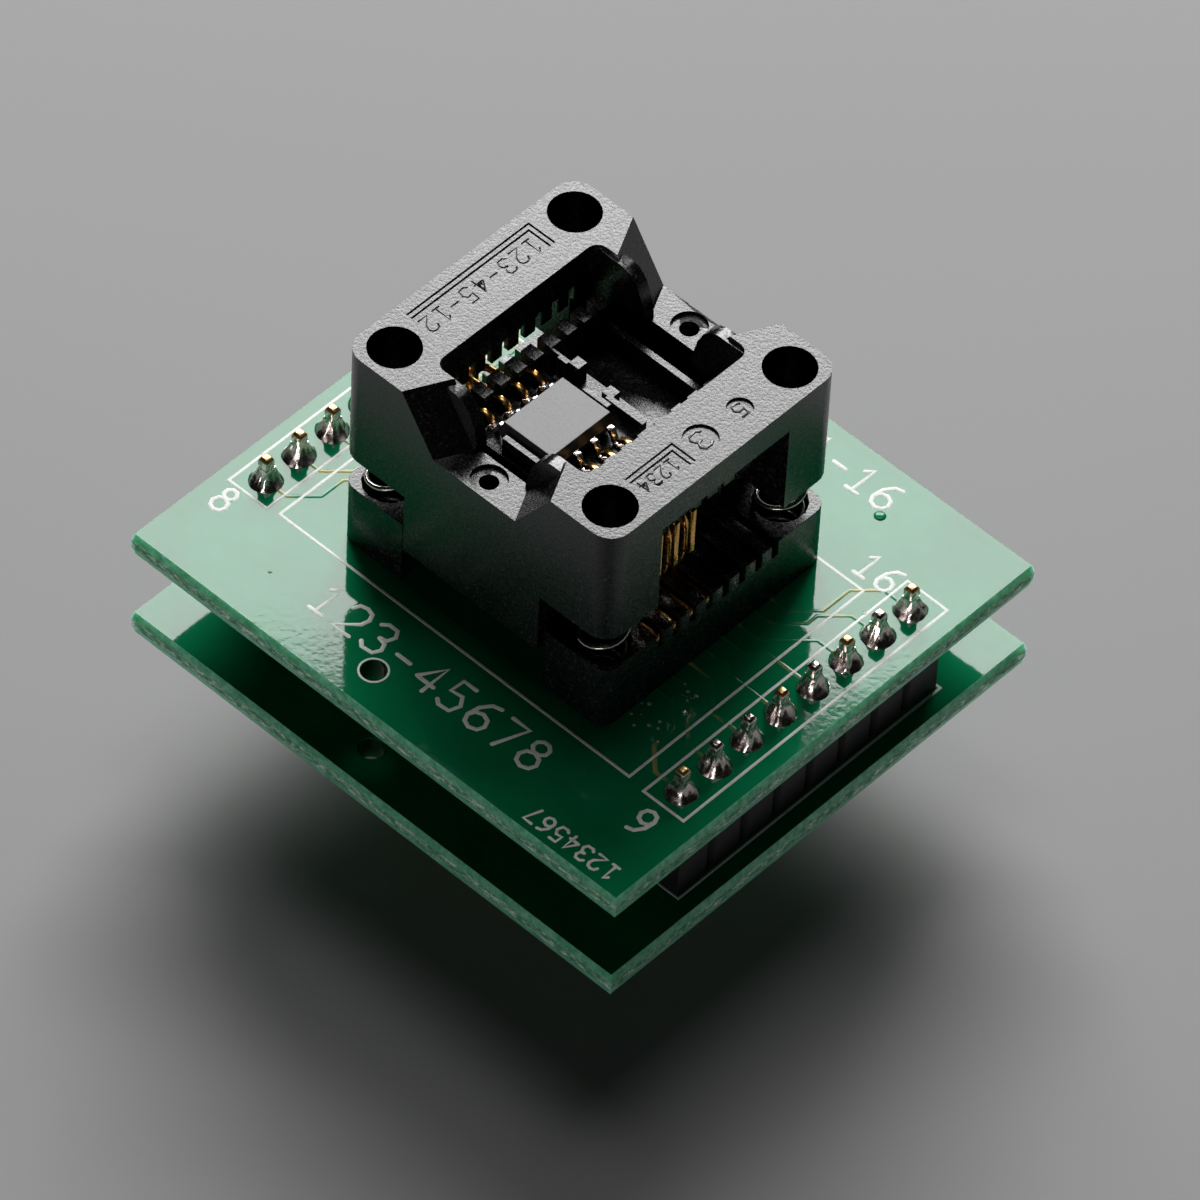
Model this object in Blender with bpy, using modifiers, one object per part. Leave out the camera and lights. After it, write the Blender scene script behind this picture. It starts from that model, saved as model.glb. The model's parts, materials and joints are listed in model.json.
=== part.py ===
# Test socket for a small-outline chip on a two-board plug-in adapter.
# Metres, +Z up. The pin tips stand on Z = 0 and the boards are centred on the Z axis.
# +X runs across the pin rows and +Y runs along them.

import math

import bmesh
import bpy
from mathutils import Matrix, Vector

# Printed boards
BOARD_WIDTH = 0.0326
BOARD_THICKNESS = 0.0016
BOARD_GAP = 0.0048
BOARD_BEYOND_PINS = 0.00251
SCREW_HOLE_DIAMETER = 0.0015
SCREW_HOLE_FROM_EDGE = 0.0023
SCREW_HOLE_OFF_CENTRE = -0.0019

# Pin rows that join the two boards
PIN_PITCH = 0.00254
PINS_PER_ROW = 8
PIN_SIDE = 0.00064
PIN_TIP_LENGTH = 0.0003
PIN_TIP_SHARE = 0.45
PIN_HOLE_CLEARANCE = 0.0001
PIN_FIELD_X = -0.0001
PIN_FIELD_Y = 0.00035
LINK_ROW_SPACING = 0.03048
LINK_PIN_ABOVE_BOARD = 0.0019
LINK_PIN_BELOW_BOARD = 0.0013
STRIP_WIDTH = 0.0025
STRIP_NOTCH_WIDTH = 0.0006
STRIP_NOTCH_DEPTH = 0.00035
STRIP_FIT = 0.00003
SOLDER_RIM = 0.00047
SOLDER_HEIGHT = 0.0013
LOWER_SOLDER_HEIGHT = 0.0008

# Pins that plug into the board below
PLUG_ROW_SPACING = 0.00762
PLUG_PIN_LENGTH = 0.0060
PLUG_PIN_ABOVE_BOARD = 0.0011
PLUG_STRIP_HEIGHT = 0.0025

# Socket as a whole, with its heights counted from the upper board's top face
SOCKET_X = -0.00025
SOCKET_Y = 0.00015
CONTACT_PITCH = 0.00127
CONTACT_PLACES = 8
LOADED_PLACES = 4
COVER_STROKE = 0.0022

# Moulded base, from its slab up to the combs
BASE_HEIGHT = 0.0044
BASE_SETBACK_X = 0.00005
BASE_SETBACK_Y = 0.0002
POST_LENGTH = 0.0045
POST_CORNER_RADIUS = 0.0009
RECESS_FROM_PEDESTAL = 0.0009
PEDESTAL_END = 0.001055
PEDESTAL_BEYOND_RIB = 0.00005
PEDESTAL_SHELF = 0.0088
SHELF_WIDTH = 0.00115
LEDGE_RISE = 0.0019
COMB_RISE = 0.0014
COMB_THICKNESS = 0.0010
COMB_FROM_LEADS = 0.0007
NEST_DEPTH = 0.0016
NEST_START = 0.0019
NEST_END_WALL = 0.0004
NEST_MARK_DIAMETER = 0.0024
NEST_MARK_DEPTH = 0.0001
GUIDE_RISE = 0.0013
GUIDE_WALL = 0.00035
GUIDE_GAP = 0.0001
GUIDE_REACH = 0.0024
GUIDE_STEP = 0.0004
GUIDE_BLOCK = 0.0007
SLOT_WIDTH = 0.0005
SLOT_FROM_LEADS = 0.0001
GROOVE_DEPTH_IN_SLAB = 0.00055
END_GROOVE_CLEARANCE = 0.00005

# Moulded cover
COVER_CORNER_RADIUS = 0.0013
BAR_HEIGHT = 0.0019
BAR_CLEARANCE = 0.0009
STROKE_CLEARANCE = 0.0004
WINDOW_LENGTH = 0.0110
WINDOW_INSIDE_WALL = 0.0003
WINDOW_CORNER_RADIUS = 0.0007
END_WALL_FROM_RECESS = 0.0001
LEG_FROM_PEDESTAL = 0.0002
LEG_FROM_LAST_CONTACT = 0.0004
SKIRT_FROM_POST = 0.00025
SKIRT_CLEARANCE = 0.0006
SKIRT_SETBACK = 0.0001
HOOK_LENGTH = 0.0030
HOOK_HEIGHT = 0.0007
HOOK_RISE = 0.0001
HOOK_REACH = 0.0004
HOOK_CLEARANCE = 0.0002
HOOK_STOP_GAP = 0.00005
LIP_WIDTH = 0.00035
LIP_SETBACK = 0.00005
LIP_NOTCH_DEPTH = 0.0012
OUTER_LIP_WIDTH = 0.0003
OUTER_LIP_FROM_BOW = 0.0001
OUTER_LIP_CLEARANCE = 0.0027
OUTER_LIP_NOTCH_DEPTH = 0.0034
TROUGH_DEPTH = 0.0035
TROUGH_INNER_HALF = 0.0018
TROUGH_OUTER_HALF = 0.00295
TROUGH_SLOPE_RUN = 0.0024
FIN_THICKNESS = 0.0005
FIN_BELOW_TOP = 0.0003
FIN_REACH = 0.0034
FIN_FOOT = 0.0017
FIN_STEPS = 5
RING_DIAMETER = 0.0021
RING_DEPTH = 0.00025
RING_HOLE_DIAMETER = 0.0011
RING_HOLE_DEPTH = 0.0015
RING_FROM_WALL = 0.00115

# Shallow marks in the cover's top face
MARK_WIDTH = 0.00013
MARK_DEPTH = 0.00015
MARK_SPACING = 0.00034
LEFT_MARK_FROM_EDGE = 0.0008
LEFT_MARK_FAR_Y = 0.0045
LEFT_MARK_REACH = 0.00185
LEFT_MARK_LENGTH = 0.0092
RIGHT_MARK_FROM_EDGE = 0.00265
RIGHT_MARK_FAR_Y = -0.00145
RIGHT_MARK_REACH = 0.0016
RIGHT_MARK_LENGTH = 0.00345
DISC_FROM_EDGE = 0.00185
LARGE_DISC_DIAMETER = 0.0020
LARGE_DISC_Y = -0.0001
SMALL_DISC_DIAMETER = 0.0015
SMALL_DISC_Y = 0.0029

# Corner holes and return springs
TOP_HOLE_DIAMETER = 0.0030
TOP_HOLE_DEPTH = 0.0035
HOLE_WEB = 0.0008
SPRING_DIAMETER = 0.0029
SPRING_WIRE = 0.0003
SPRING_TURNS = 6.5
SPRING_CLOSED_PITCH = 0.00035
SPRING_POCKET_FLOOR = 0.0012
SPRING_POCKET_CLEARANCE = 0.0002
SPRING_END_GAP = 0.00002
POCKET_WALL_INNER_X = 0.00015
POCKET_WALL_INNER_Y = 0.00045
POCKET_WALL_OUTER = 0.0004

# Spring contacts
CONTACT_THICKNESS = 0.00036
CONTACT_BAND = 0.00032
CONTACT_GAP = 0.00005
PIVOT_FROM_PEDESTAL = 0.00115
PIVOT_RISE = 0.00075
FOOT_SEAT_GAP = 0.00004
FOOT_FROM_EDGE = 0.00025
FOOT_HOOK = 0.00065
HUMP_RADIUS = 0.0008
HUMP_START_ANGLE = 145.0
HUMP_STEPS = 5
ARM_RISE = 0.00115
BOW_REACH = 0.00065
SHOULDER_RISE = 0.0006
SHOULDER_RADIUS = 0.0014
SHOULDER_STEPS = 3
HEEL_RADIUS = 0.0002
LEVER_REACH = 0.0011
LEVER_FOOT_RISE = 0.0018
LEVER_TOP_RISE = 0.0052
LEVER_BAND = 0.00025
TAIL_FROM_FOOT_END = 0.0010
TAIL_SIDE = 0.0004
TAIL_BELOW_BOARD = 0.0008
TAIL_HOLE_CLEARANCE = 0.00023

# Chip held in the nest
CHIP_LENGTH = 0.0049
CHIP_WIDTH = 0.0039
CHIP_STANDOFF = 0.00015
CHIP_HEIGHT = 0.00145
CHIP_PARTING = 0.0007
CHIP_DRAFT = 0.00022
LEAD_SPAN = 0.0060
LEAD_WIDTH = 0.0004
LEAD_THICKNESS = 0.0002
LEAD_FOOT = 0.0005
LEAD_ROOT = 0.0004
LEAD_SHOULDER = 0.00012
LEAD_LEAN = 0.00008
LEAD_GAP = 0.00003

ROUND_SIDES = 24
POCKET_SIDES = 14
SMALL_SIDES = 8
CORNER_STEPS = 6
SPRING_STEPS = 9
BOOLEAN_REACH = 0.0005

# Sizes that follow from the ones above: boards and pins
BOARD_LENGTH = LINK_ROW_SPACING + 2.0 * BOARD_BEYOND_PINS
LOWER_BOARD_BOTTOM = PLUG_PIN_LENGTH + PLUG_STRIP_HEIGHT
LOWER_BOARD_TOP = LOWER_BOARD_BOTTOM + BOARD_THICKNESS
UPPER_BOARD_BOTTOM = LOWER_BOARD_TOP + BOARD_GAP
UPPER_BOARD_TOP = UPPER_BOARD_BOTTOM + BOARD_THICKNESS
STRIP_LENGTH = PIN_PITCH * PINS_PER_ROW
PIN_ACROSS_CORNERS = PIN_SIDE * math.sqrt(2.0)
PIN_HOLE_DIAMETER = PIN_ACROSS_CORNERS + PIN_HOLE_CLEARANCE
SOLDER_BASE_DIAMETER = PIN_HOLE_DIAMETER + 2.0 * SOLDER_RIM

# Heights in the socket
LEAD_LEDGE = PEDESTAL_SHELF + LEDGE_RISE
COMB_TOP = LEAD_LEDGE + COMB_RISE
GUIDE_TOP = LEAD_LEDGE + GUIDE_RISE
NEST_FLOOR = LEAD_LEDGE - NEST_DEPTH
GROOVE_FLOOR = BASE_HEIGHT - GROOVE_DEPTH_IN_SLAB
FOOT_Z = GROOVE_FLOOR + CONTACT_BAND / 2.0 + FOOT_SEAT_GAP
PIVOT_Z = FOOT_Z + PIVOT_RISE
LEVER_TOP = PIVOT_Z + LEVER_TOP_RISE
BAR_BOTTOM = LEVER_TOP + COVER_STROKE + BAR_CLEARANCE
COVER_TOP = BAR_BOTTOM + BAR_HEIGHT
LEG_BOTTOM = BASE_HEIGHT + COVER_STROKE + STROKE_CLEARANCE
LIP_BOTTOM = PEDESTAL_SHELF + COVER_STROKE + STROKE_CLEARANCE
OUTER_LIP_BOTTOM = BASE_HEIGHT + COVER_STROKE + OUTER_LIP_CLEARANCE
SKIRT_BOTTOM = COVER_STROKE + SKIRT_CLEARANCE
LOW_BAR_TOP = COVER_TOP - TROUGH_DEPTH
FIN_TOP = COVER_TOP - FIN_BELOW_TOP
SPRING_CEILING = COVER_TOP - TOP_HOLE_DEPTH - HOLE_WEB

# Places across the socket, from the leads out to the side bars
SLOT_START = LEAD_SPAN / 2.0 + SLOT_FROM_LEADS
COMB_INNER = LEAD_SPAN / 2.0 + COMB_FROM_LEADS
COMB_OUTER = COMB_INNER + COMB_THICKNESS
PEDESTAL_LENGTH = 2.0 * (COMB_OUTER + SHELF_WIDTH)
SPRING_POCKET_DIAMETER = SPRING_DIAMETER + SPRING_POCKET_CLEARANCE
LEG_INNER_X = PEDESTAL_LENGTH / 2.0 + LEG_FROM_PEDESTAL
CORNER_X = LEG_INNER_X + POCKET_WALL_INNER_X + SPRING_POCKET_DIAMETER / 2.0
COVER_LENGTH = 2.0 * (CORNER_X + SPRING_POCKET_DIAMETER / 2.0 + POCKET_WALL_OUTER)
BASE_LENGTH = COVER_LENGTH - 2.0 * BASE_SETBACK_X
SKIRT_LENGTH = BASE_LENGTH - 2.0 * (POST_LENGTH + SKIRT_FROM_POST)
PIVOT_X = PEDESTAL_LENGTH / 2.0 + PIVOT_FROM_PEDESTAL
BOW_X = PIVOT_X + BOW_REACH
OUTER_LIP_OUTER = BOW_X + OUTER_LIP_FROM_BOW
FOOT_END = BASE_LENGTH / 2.0 - FOOT_FROM_EDGE
TAIL_X = FOOT_END - TAIL_FROM_FOOT_END
TAIL_HOLE_DIAMETER = TAIL_SIDE * math.sqrt(2.0) + TAIL_HOLE_CLEARANCE

# Places along the socket, from the last contact out to the end walls
LAST_CONTACT = (CONTACT_PLACES - 1) * CONTACT_PITCH / 2.0
CHIP_FROM_CENTRE = (CONTACT_PLACES - LOADED_PLACES) * CONTACT_PITCH / 2.0
NEAR_RIB_END = CHIP_FROM_CENTRE + CHIP_LENGTH / 2.0 + GUIDE_GAP + GUIDE_WALL
PEDESTAL_WIDTH = 2.0 * max(LAST_CONTACT + PEDESTAL_END, NEAR_RIB_END + PEDESTAL_BEYOND_RIB)
RECESS_FROM_CENTRE = PEDESTAL_WIDTH / 2.0 + RECESS_FROM_PEDESTAL
END_WALL_INNER = RECESS_FROM_CENTRE + END_WALL_FROM_RECESS
WINDOW_WIDTH = 2.0 * (END_WALL_INNER - WINDOW_INSIDE_WALL)
LEG_INNER_Y = LAST_CONTACT + LEG_FROM_LAST_CONTACT
CORNER_Y = LEG_INNER_Y + POCKET_WALL_INNER_Y + SPRING_POCKET_DIAMETER / 2.0
COVER_WIDTH = 2.0 * (CORNER_Y + SPRING_POCKET_DIAMETER / 2.0 + POCKET_WALL_OUTER)
BASE_WIDTH = COVER_WIDTH - 2.0 * BASE_SETBACK_Y
RING_FROM_CENTRE = END_WALL_INNER + RING_FROM_WALL


def clear_scene():
    for item in list(bpy.data.objects):
        bpy.data.objects.remove(item, do_unlink=True)


def make_collection(name):
    collection = bpy.data.collections.new(name)
    bpy.context.scene.collection.children.link(collection)
    return collection


def make_material(name, colour, roughness, metallic):
    material = bpy.data.materials.new(name)
    material.use_nodes = True
    shader = material.node_tree.nodes["Principled BSDF"]
    shader.inputs["Base Color"].default_value = (*colour, 1.0)
    shader.inputs["Roughness"].default_value = roughness
    shader.inputs["Metallic"].default_value = metallic
    return material


def centred_places(count, pitch):
    return [(index - (count - 1) / 2.0) * pitch for index in range(count)]


def link_new(name, mesh, collection, parent=None, place=(0.0, 0.0, 0.0)):
    item = bpy.data.objects.new(name, mesh)
    collection.objects.link(item)
    item.parent = parent
    item.location = place
    return item


def mesh_from(bm, name):
    mesh = bpy.data.meshes.new(name)
    bm.to_mesh(mesh)
    bm.free()
    return mesh


def add_box(bm, low, high):
    made = bmesh.ops.create_cube(bm, size=1.0)
    low = Vector(low)
    high = Vector(high)
    size = high - low
    place = Matrix.Translation((low + high) / 2.0) @ Matrix.Diagonal((*size, 1.0))
    bmesh.ops.transform(bm, matrix=place, verts=made["verts"])


def add_round(bm, x, y, low, high, radius, sides, top_radius=None):
    end = radius if top_radius is None else top_radius
    place = Matrix.Translation((x, y, (low + high) / 2.0))
    bmesh.ops.create_cone(bm, cap_ends=True, segments=sides, radius1=radius, radius2=end,
                          depth=high - low, matrix=place)


def add_outline(bm, points, low, high, upright=False):
    # A flat outline becomes a plate between low and high. An upright one is drawn in X and Z
    # and runs along Y.
    curve = bpy.data.curves.new("outline", "CURVE")
    curve.dimensions = "2D"
    curve.fill_mode = "BOTH"
    curve.extrude = (high - low) / 2.0
    spline = curve.splines.new("POLY")
    spline.points.add(len(points) - 1)
    for point, (across, along) in zip(spline.points, points):
        point.co = (across, along, 0.0, 1.0)
    spline.use_cyclic_u = True
    guide = bpy.data.objects.new("outline", curve)
    bpy.context.scene.collection.objects.link(guide)
    guide.location.z = (low + high) / 2.0
    bpy.context.view_layer.update()
    mesh = bpy.data.meshes.new_from_object(guide.evaluated_get(bpy.context.evaluated_depsgraph_get()))
    place = guide.matrix_world.copy()
    if upright:
        swing = Matrix(((1, 0, 0, 0), (0, 0, 1, 0), (0, 1, 0, 0), (0, 0, 0, 1)))
        place = swing @ place
    piece = bmesh.new()
    piece.from_mesh(mesh)
    bmesh.ops.transform(piece, matrix=place, verts=piece.verts)
    bmesh.ops.remove_doubles(piece, verts=piece.verts, dist=0.000001)
    bmesh.ops.recalc_face_normals(piece, faces=piece.faces)
    welded = mesh_from(piece, "outline")
    bm.from_mesh(welded)
    bpy.data.meshes.remove(welded)
    bpy.data.meshes.remove(mesh)
    bpy.data.objects.remove(guide, do_unlink=True)
    bpy.data.curves.remove(curve)


def arc_points(centre, radius, start, end, steps):
    # Points on a flat arc, from one angle to the other in degrees.
    points = []
    for step in range(steps + 1):
        angle = math.radians(start + (end - start) * step / steps)
        points.append((centre[0] + radius * math.cos(angle), centre[1] + radius * math.sin(angle)))
    return points


def rounded_outline(half_x, half_y, radius):
    points = []
    for turn, (sign_x, sign_y) in enumerate(((1, 1), (-1, 1), (-1, -1), (1, -1))):
        centre = (sign_x * (half_x - radius), sign_y * (half_y - radius))
        points += arc_points(centre, radius, 90.0 * turn, 90.0 * (turn + 1), CORNER_STEPS)
    return points


def boolean(target, tool, operation):
    modifier = target.modifiers.new(tool.name, "BOOLEAN")
    modifier.operation = operation
    modifier.solver = "EXACT"
    modifier.object = tool


def make_tool(name, bm, tools, parent):
    tool = link_new(name, mesh_from(bm, name), tools, parent)
    tool.hide_render = True
    tool.display_type = "WIRE"
    return tool


def settled_mesh(item, name):
    # The finished mesh of an object with its modifiers, for pieces that repeat.
    bpy.context.view_layer.update()
    mesh = bpy.data.meshes.new_from_object(item.evaluated_get(bpy.context.evaluated_depsgraph_get()))
    mesh.name = name
    return mesh


def pin_places(row_spacing):
    # Numbered down the left row from the far end, then up the right row.
    along = [PIN_FIELD_Y + y for y in centred_places(PINS_PER_ROW, PIN_PITCH)]
    left = [(PIN_FIELD_X - row_spacing / 2.0, y) for y in reversed(along)]
    right = [(PIN_FIELD_X + row_spacing / 2.0, y) for y in along]
    return left + right


def contact_places(count):
    # Places along Y, from the near end.
    return centred_places(CONTACT_PLACES, CONTACT_PITCH)[:count]


def board_bmesh(bottom, top):
    bm = bmesh.new()
    half_x = BOARD_LENGTH / 2.0
    half_y = BOARD_WIDTH / 2.0
    add_box(bm, (-half_x, -half_y, bottom), (half_x, half_y, top))
    return bm


def screw_hole_place():
    return PIN_FIELD_X + SCREW_HOLE_OFF_CENTRE, -BOARD_WIDTH / 2.0 + SCREW_HOLE_FROM_EDGE


def make_boards(parts, tools, material):
    bands = {
        "upper_board": (UPPER_BOARD_BOTTOM, UPPER_BOARD_TOP),
        "lower_board": (LOWER_BOARD_BOTTOM, LOWER_BOARD_TOP),
    }
    for name, (bottom, top) in bands.items():
        board = link_new(name, mesh_from(board_bmesh(bottom, top), name), parts)
        board.data.materials.append(material)
        bm = bmesh.new()
        low = bottom - BOOLEAN_REACH
        high = top + BOOLEAN_REACH
        for x, y in pin_places(LINK_ROW_SPACING):
            add_round(bm, x, y, low, high, PIN_HOLE_DIAMETER / 2.0, SMALL_SIDES)
        if name == "lower_board":
            for x, y in pin_places(PLUG_ROW_SPACING):
                add_round(bm, x, y, low, high, PIN_HOLE_DIAMETER / 2.0, SMALL_SIDES)
        else:
            for side in (-1, 1):
                for y in contact_places(CONTACT_PLACES):
                    x = SOCKET_X + side * TAIL_X
                    add_round(bm, x, SOCKET_Y + y, low, high, TAIL_HOLE_DIAMETER / 2.0, SMALL_SIDES)
        x, y = screw_hole_place()
        add_round(bm, x, y, low, high, SCREW_HOLE_DIAMETER / 2.0, ROUND_SIDES)
        boolean(board, make_tool(name + "_holes", bm, tools, None), "DIFFERENCE")


def strip_outline():
    # A pin strip seen from above, notched on both sides between its pins.
    half_x = STRIP_WIDTH / 2.0
    half_y = STRIP_LENGTH / 2.0
    side = [(half_x, -half_y)]
    for index in range(1, PINS_PER_ROW):
        y = -half_y + index * PIN_PITCH
        side.append((half_x, y - STRIP_NOTCH_WIDTH / 2.0))
        side.append((half_x - STRIP_NOTCH_DEPTH, y))
        side.append((half_x, y + STRIP_NOTCH_WIDTH / 2.0))
    side.append((half_x, half_y))
    return side + [(-x, -y) for x, y in side]


def make_strips(parts, tools, material):
    hole = PIN_SIDE / 2.0 + STRIP_FIT
    bands = {
        "link_strip": (LINK_ROW_SPACING, LOWER_BOARD_TOP, UPPER_BOARD_BOTTOM),
        "plug_strip": (PLUG_ROW_SPACING, PLUG_PIN_LENGTH, LOWER_BOARD_BOTTOM),
    }
    for kind, (spacing, bottom, top) in bands.items():
        for side, word in ((-1, "left"), (1, "right")):
            name = kind + "_" + word
            bm = bmesh.new()
            add_outline(bm, strip_outline(), bottom, top)
            place = (PIN_FIELD_X + side * spacing / 2.0, PIN_FIELD_Y, 0.0)
            strip = link_new(name, mesh_from(bm, name), parts, None, place)
            strip.data.materials.append(material)
            bm = bmesh.new()
            for y in centred_places(PINS_PER_ROW, PIN_PITCH):
                low = (-hole, y - hole, bottom - BOOLEAN_REACH)
                high = (hole, y + hole, top + BOOLEAN_REACH)
                add_box(bm, low, high)
            tool = make_tool(name + "_holes", bm, tools, None)
            tool.location = place
            boolean(strip, tool, "DIFFERENCE")


def add_pin(bm, low, high):
    # A square pin, drawn to a blunt point at both ends.
    half = PIN_SIDE / 2.0
    made = bmesh.ops.create_cube(bm, size=1.0)
    straight = high - low - 2.0 * PIN_TIP_LENGTH
    place = Matrix.Translation((0, 0, (low + high) / 2.0))
    size = Matrix.Diagonal((2.0 * half, 2.0 * half, straight, 1.0))
    bmesh.ops.transform(bm, matrix=place @ size, verts=made["verts"])
    bm.faces.ensure_lookup_table()
    ends = [face for face in bm.faces if abs(face.normal.z) > 0.5]
    for face in ends:
        rise = PIN_TIP_LENGTH if face.normal.z > 0 else -PIN_TIP_LENGTH
        grown = bmesh.ops.extrude_discrete_faces(bm, faces=[face])["faces"][0]
        bmesh.ops.translate(bm, vec=(0, 0, rise), verts=grown.verts)
        middle = Matrix.Translation((0, 0, -grown.calc_center_median().z))
        bmesh.ops.scale(bm, vec=(PIN_TIP_SHARE, PIN_TIP_SHARE, 1.0), space=middle, verts=grown.verts)


def soldered_pin(name, low, high, joints, tools, scratch):
    # The pin and the solder that wets it, as one solid.
    bm = bmesh.new()
    add_pin(bm, low, high)
    bmesh.ops.recalc_face_normals(bm, faces=bm.faces)
    pin = link_new(name + "_core", mesh_from(bm, name), scratch)
    bm = bmesh.new()
    for face_height, height, upward in joints:
        wide = SOLDER_BASE_DIAMETER / 2.0
        slim = PIN_ACROSS_CORNERS / 2.0
        if upward:
            add_round(bm, 0, 0, face_height, face_height + height, wide, SMALL_SIDES, slim)
        else:
            add_round(bm, 0, 0, face_height - height, face_height, slim, SMALL_SIDES, wide)
    solder = link_new(name + "_solder", mesh_from(bm, name), tools)
    boolean(pin, solder, "UNION")
    mesh = settled_mesh(pin, name)
    bpy.data.objects.remove(pin, do_unlink=True)
    bpy.data.objects.remove(solder, do_unlink=True)
    return mesh


def make_pins(parts, tools, material):
    link_joints = (
        (UPPER_BOARD_TOP, SOLDER_HEIGHT, True),
        (LOWER_BOARD_BOTTOM, LOWER_SOLDER_HEIGHT, False),
    )
    link_low = LOWER_BOARD_BOTTOM - LINK_PIN_BELOW_BOARD
    link_high = UPPER_BOARD_TOP + LINK_PIN_ABOVE_BOARD
    link_mesh = soldered_pin("link_pin", link_low, link_high, link_joints, tools, parts)
    plug_joints = ((LOWER_BOARD_TOP, LOWER_SOLDER_HEIGHT, True),)
    plug_high = LOWER_BOARD_TOP + PLUG_PIN_ABOVE_BOARD
    plug_mesh = soldered_pin("plug_pin", 0.0, plug_high, plug_joints, tools, parts)
    for mesh, kind, spacing in (
        (link_mesh, "link_pin", LINK_ROW_SPACING),
        (plug_mesh, "plug_pin", PLUG_ROW_SPACING),
    ):
        mesh.materials.clear()
        mesh.materials.append(material)
        for number, (x, y) in enumerate(pin_places(spacing), start=1):
            link_new(f"{kind}_{number:02d}", mesh, parts, None, (x, y, 0.0))


def base_body():
    # The slab with its four posts, drawn from above. The outer corners are rounded.
    half_x = BASE_LENGTH / 2.0
    half_y = BASE_WIDTH / 2.0
    post = half_x - POST_LENGTH
    recess = RECESS_FROM_CENTRE
    radius = POST_CORNER_RADIUS
    near = (half_x - radius, radius - half_y)
    far = (half_x - radius, half_y - radius)
    right = [(post, -recess), (post, -half_y)]
    right += arc_points(near, radius, -90.0, 0.0, CORNER_STEPS)
    right += arc_points(far, radius, 0.0, 90.0, CORNER_STEPS)
    right += [(post, half_y), (post, recess)]
    bm = bmesh.new()
    add_outline(bm, right + [(-x, -y) for x, y in right], 0.0, BASE_HEIGHT)
    return bm


def pedestal_body():
    # The raised middle with its inner combs, seen along Y.
    half = PEDESTAL_LENGTH / 2.0
    sunk = BASE_HEIGHT - BOOLEAN_REACH
    right = [(half, sunk), (half, PEDESTAL_SHELF), (COMB_OUTER, PEDESTAL_SHELF)]
    right += [(COMB_OUTER, COMB_TOP), (COMB_INNER, COMB_TOP), (COMB_INNER, LEAD_LEDGE)]
    bm = bmesh.new()
    points = right + [(-x, z) for x, z in reversed(right)]
    add_outline(bm, points, -PEDESTAL_WIDTH / 2.0, PEDESTAL_WIDTH / 2.0, upright=True)
    return bm


def chip_end_y(side):
    # Where the nest ends at the chip's near (-1) or far (1) end.
    return side * (CHIP_LENGTH / 2.0 + GUIDE_GAP) - CHIP_FROM_CENTRE


def nest_guides():
    # Low ribs that keep the chip in its half of the nest.
    root = NEST_FLOOR - BOOLEAN_REACH
    near = chip_end_y(-1)
    far = chip_end_y(1)
    rib = far + 2.0 * GUIDE_WALL
    rib_x = COMB_INNER + BOOLEAN_REACH
    low_top = GUIDE_TOP - GUIDE_STEP
    bm = bmesh.new()
    add_box(bm, (-GUIDE_REACH / 2.0, near - GUIDE_WALL, root), (GUIDE_REACH, near, GUIDE_TOP))
    add_box(bm, (-GUIDE_REACH / 4.0, far, root), (GUIDE_REACH / 2.0, far + GUIDE_WALL, GUIDE_TOP))
    add_box(bm, (-rib_x, rib, root), (-GUIDE_REACH, rib + GUIDE_WALL, GUIDE_TOP))
    add_box(bm, (GUIDE_STEP, rib, root), (GUIDE_REACH + GUIDE_BLOCK, rib + GUIDE_WALL, low_top))
    return bm


def nest_blocks():
    # Two short blocks behind the ribs.
    root = NEST_FLOOR - BOOLEAN_REACH
    rib = chip_end_y(1) + 2.5 * GUIDE_WALL
    left = -GUIDE_REACH
    bm = bmesh.new()
    add_box(bm, (0.0, rib, root), (GUIDE_BLOCK, rib + GUIDE_BLOCK, GUIDE_TOP - GUIDE_STEP))
    add_box(bm, (left, rib, root), (left + GUIDE_BLOCK, rib + GUIDE_BLOCK, GUIDE_TOP))
    return bm


def nest_cuts():
    # The empty half of the nest is deeper, with a shallow round mark in its floor.
    end = PEDESTAL_WIDTH / 2.0 - NEST_END_WALL
    bm = bmesh.new()
    top = COMB_TOP + BOOLEAN_REACH
    add_box(bm, (-COMB_INNER, NEST_START, NEST_FLOOR), (COMB_INNER, end, top))
    return bm


def nest_mark():
    bm = bmesh.new()
    y = (NEST_START + PEDESTAL_WIDTH / 2.0 - NEST_END_WALL) / 2.0
    low = NEST_FLOOR - NEST_MARK_DEPTH
    high = NEST_FLOOR + BOOLEAN_REACH
    add_round(bm, 0.0, y, low, high, NEST_MARK_DIAMETER / 2.0, ROUND_SIDES)
    return bm


def hook_heights():
    low = SKIRT_BOTTOM + HOOK_RISE
    return low, low + HOOK_HEIGHT


def hook_pockets():
    # Behind each skirt a pocket lets the hook run down, and its ceiling stops the cover.
    half = HOOK_LENGTH / 2.0 + HOOK_CLEARANCE
    inner = RECESS_FROM_CENTRE - HOOK_REACH - HOOK_CLEARANCE
    outer = RECESS_FROM_CENTRE + BOOLEAN_REACH
    low, high = hook_heights()
    low -= COVER_STROKE + HOOK_CLEARANCE
    high += HOOK_STOP_GAP
    bm = bmesh.new()
    for side in (-1, 1):
        y = sorted((side * inner, side * outer))
        add_box(bm, (-half, y[0], low), (half, y[1], high))
    return bm


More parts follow.
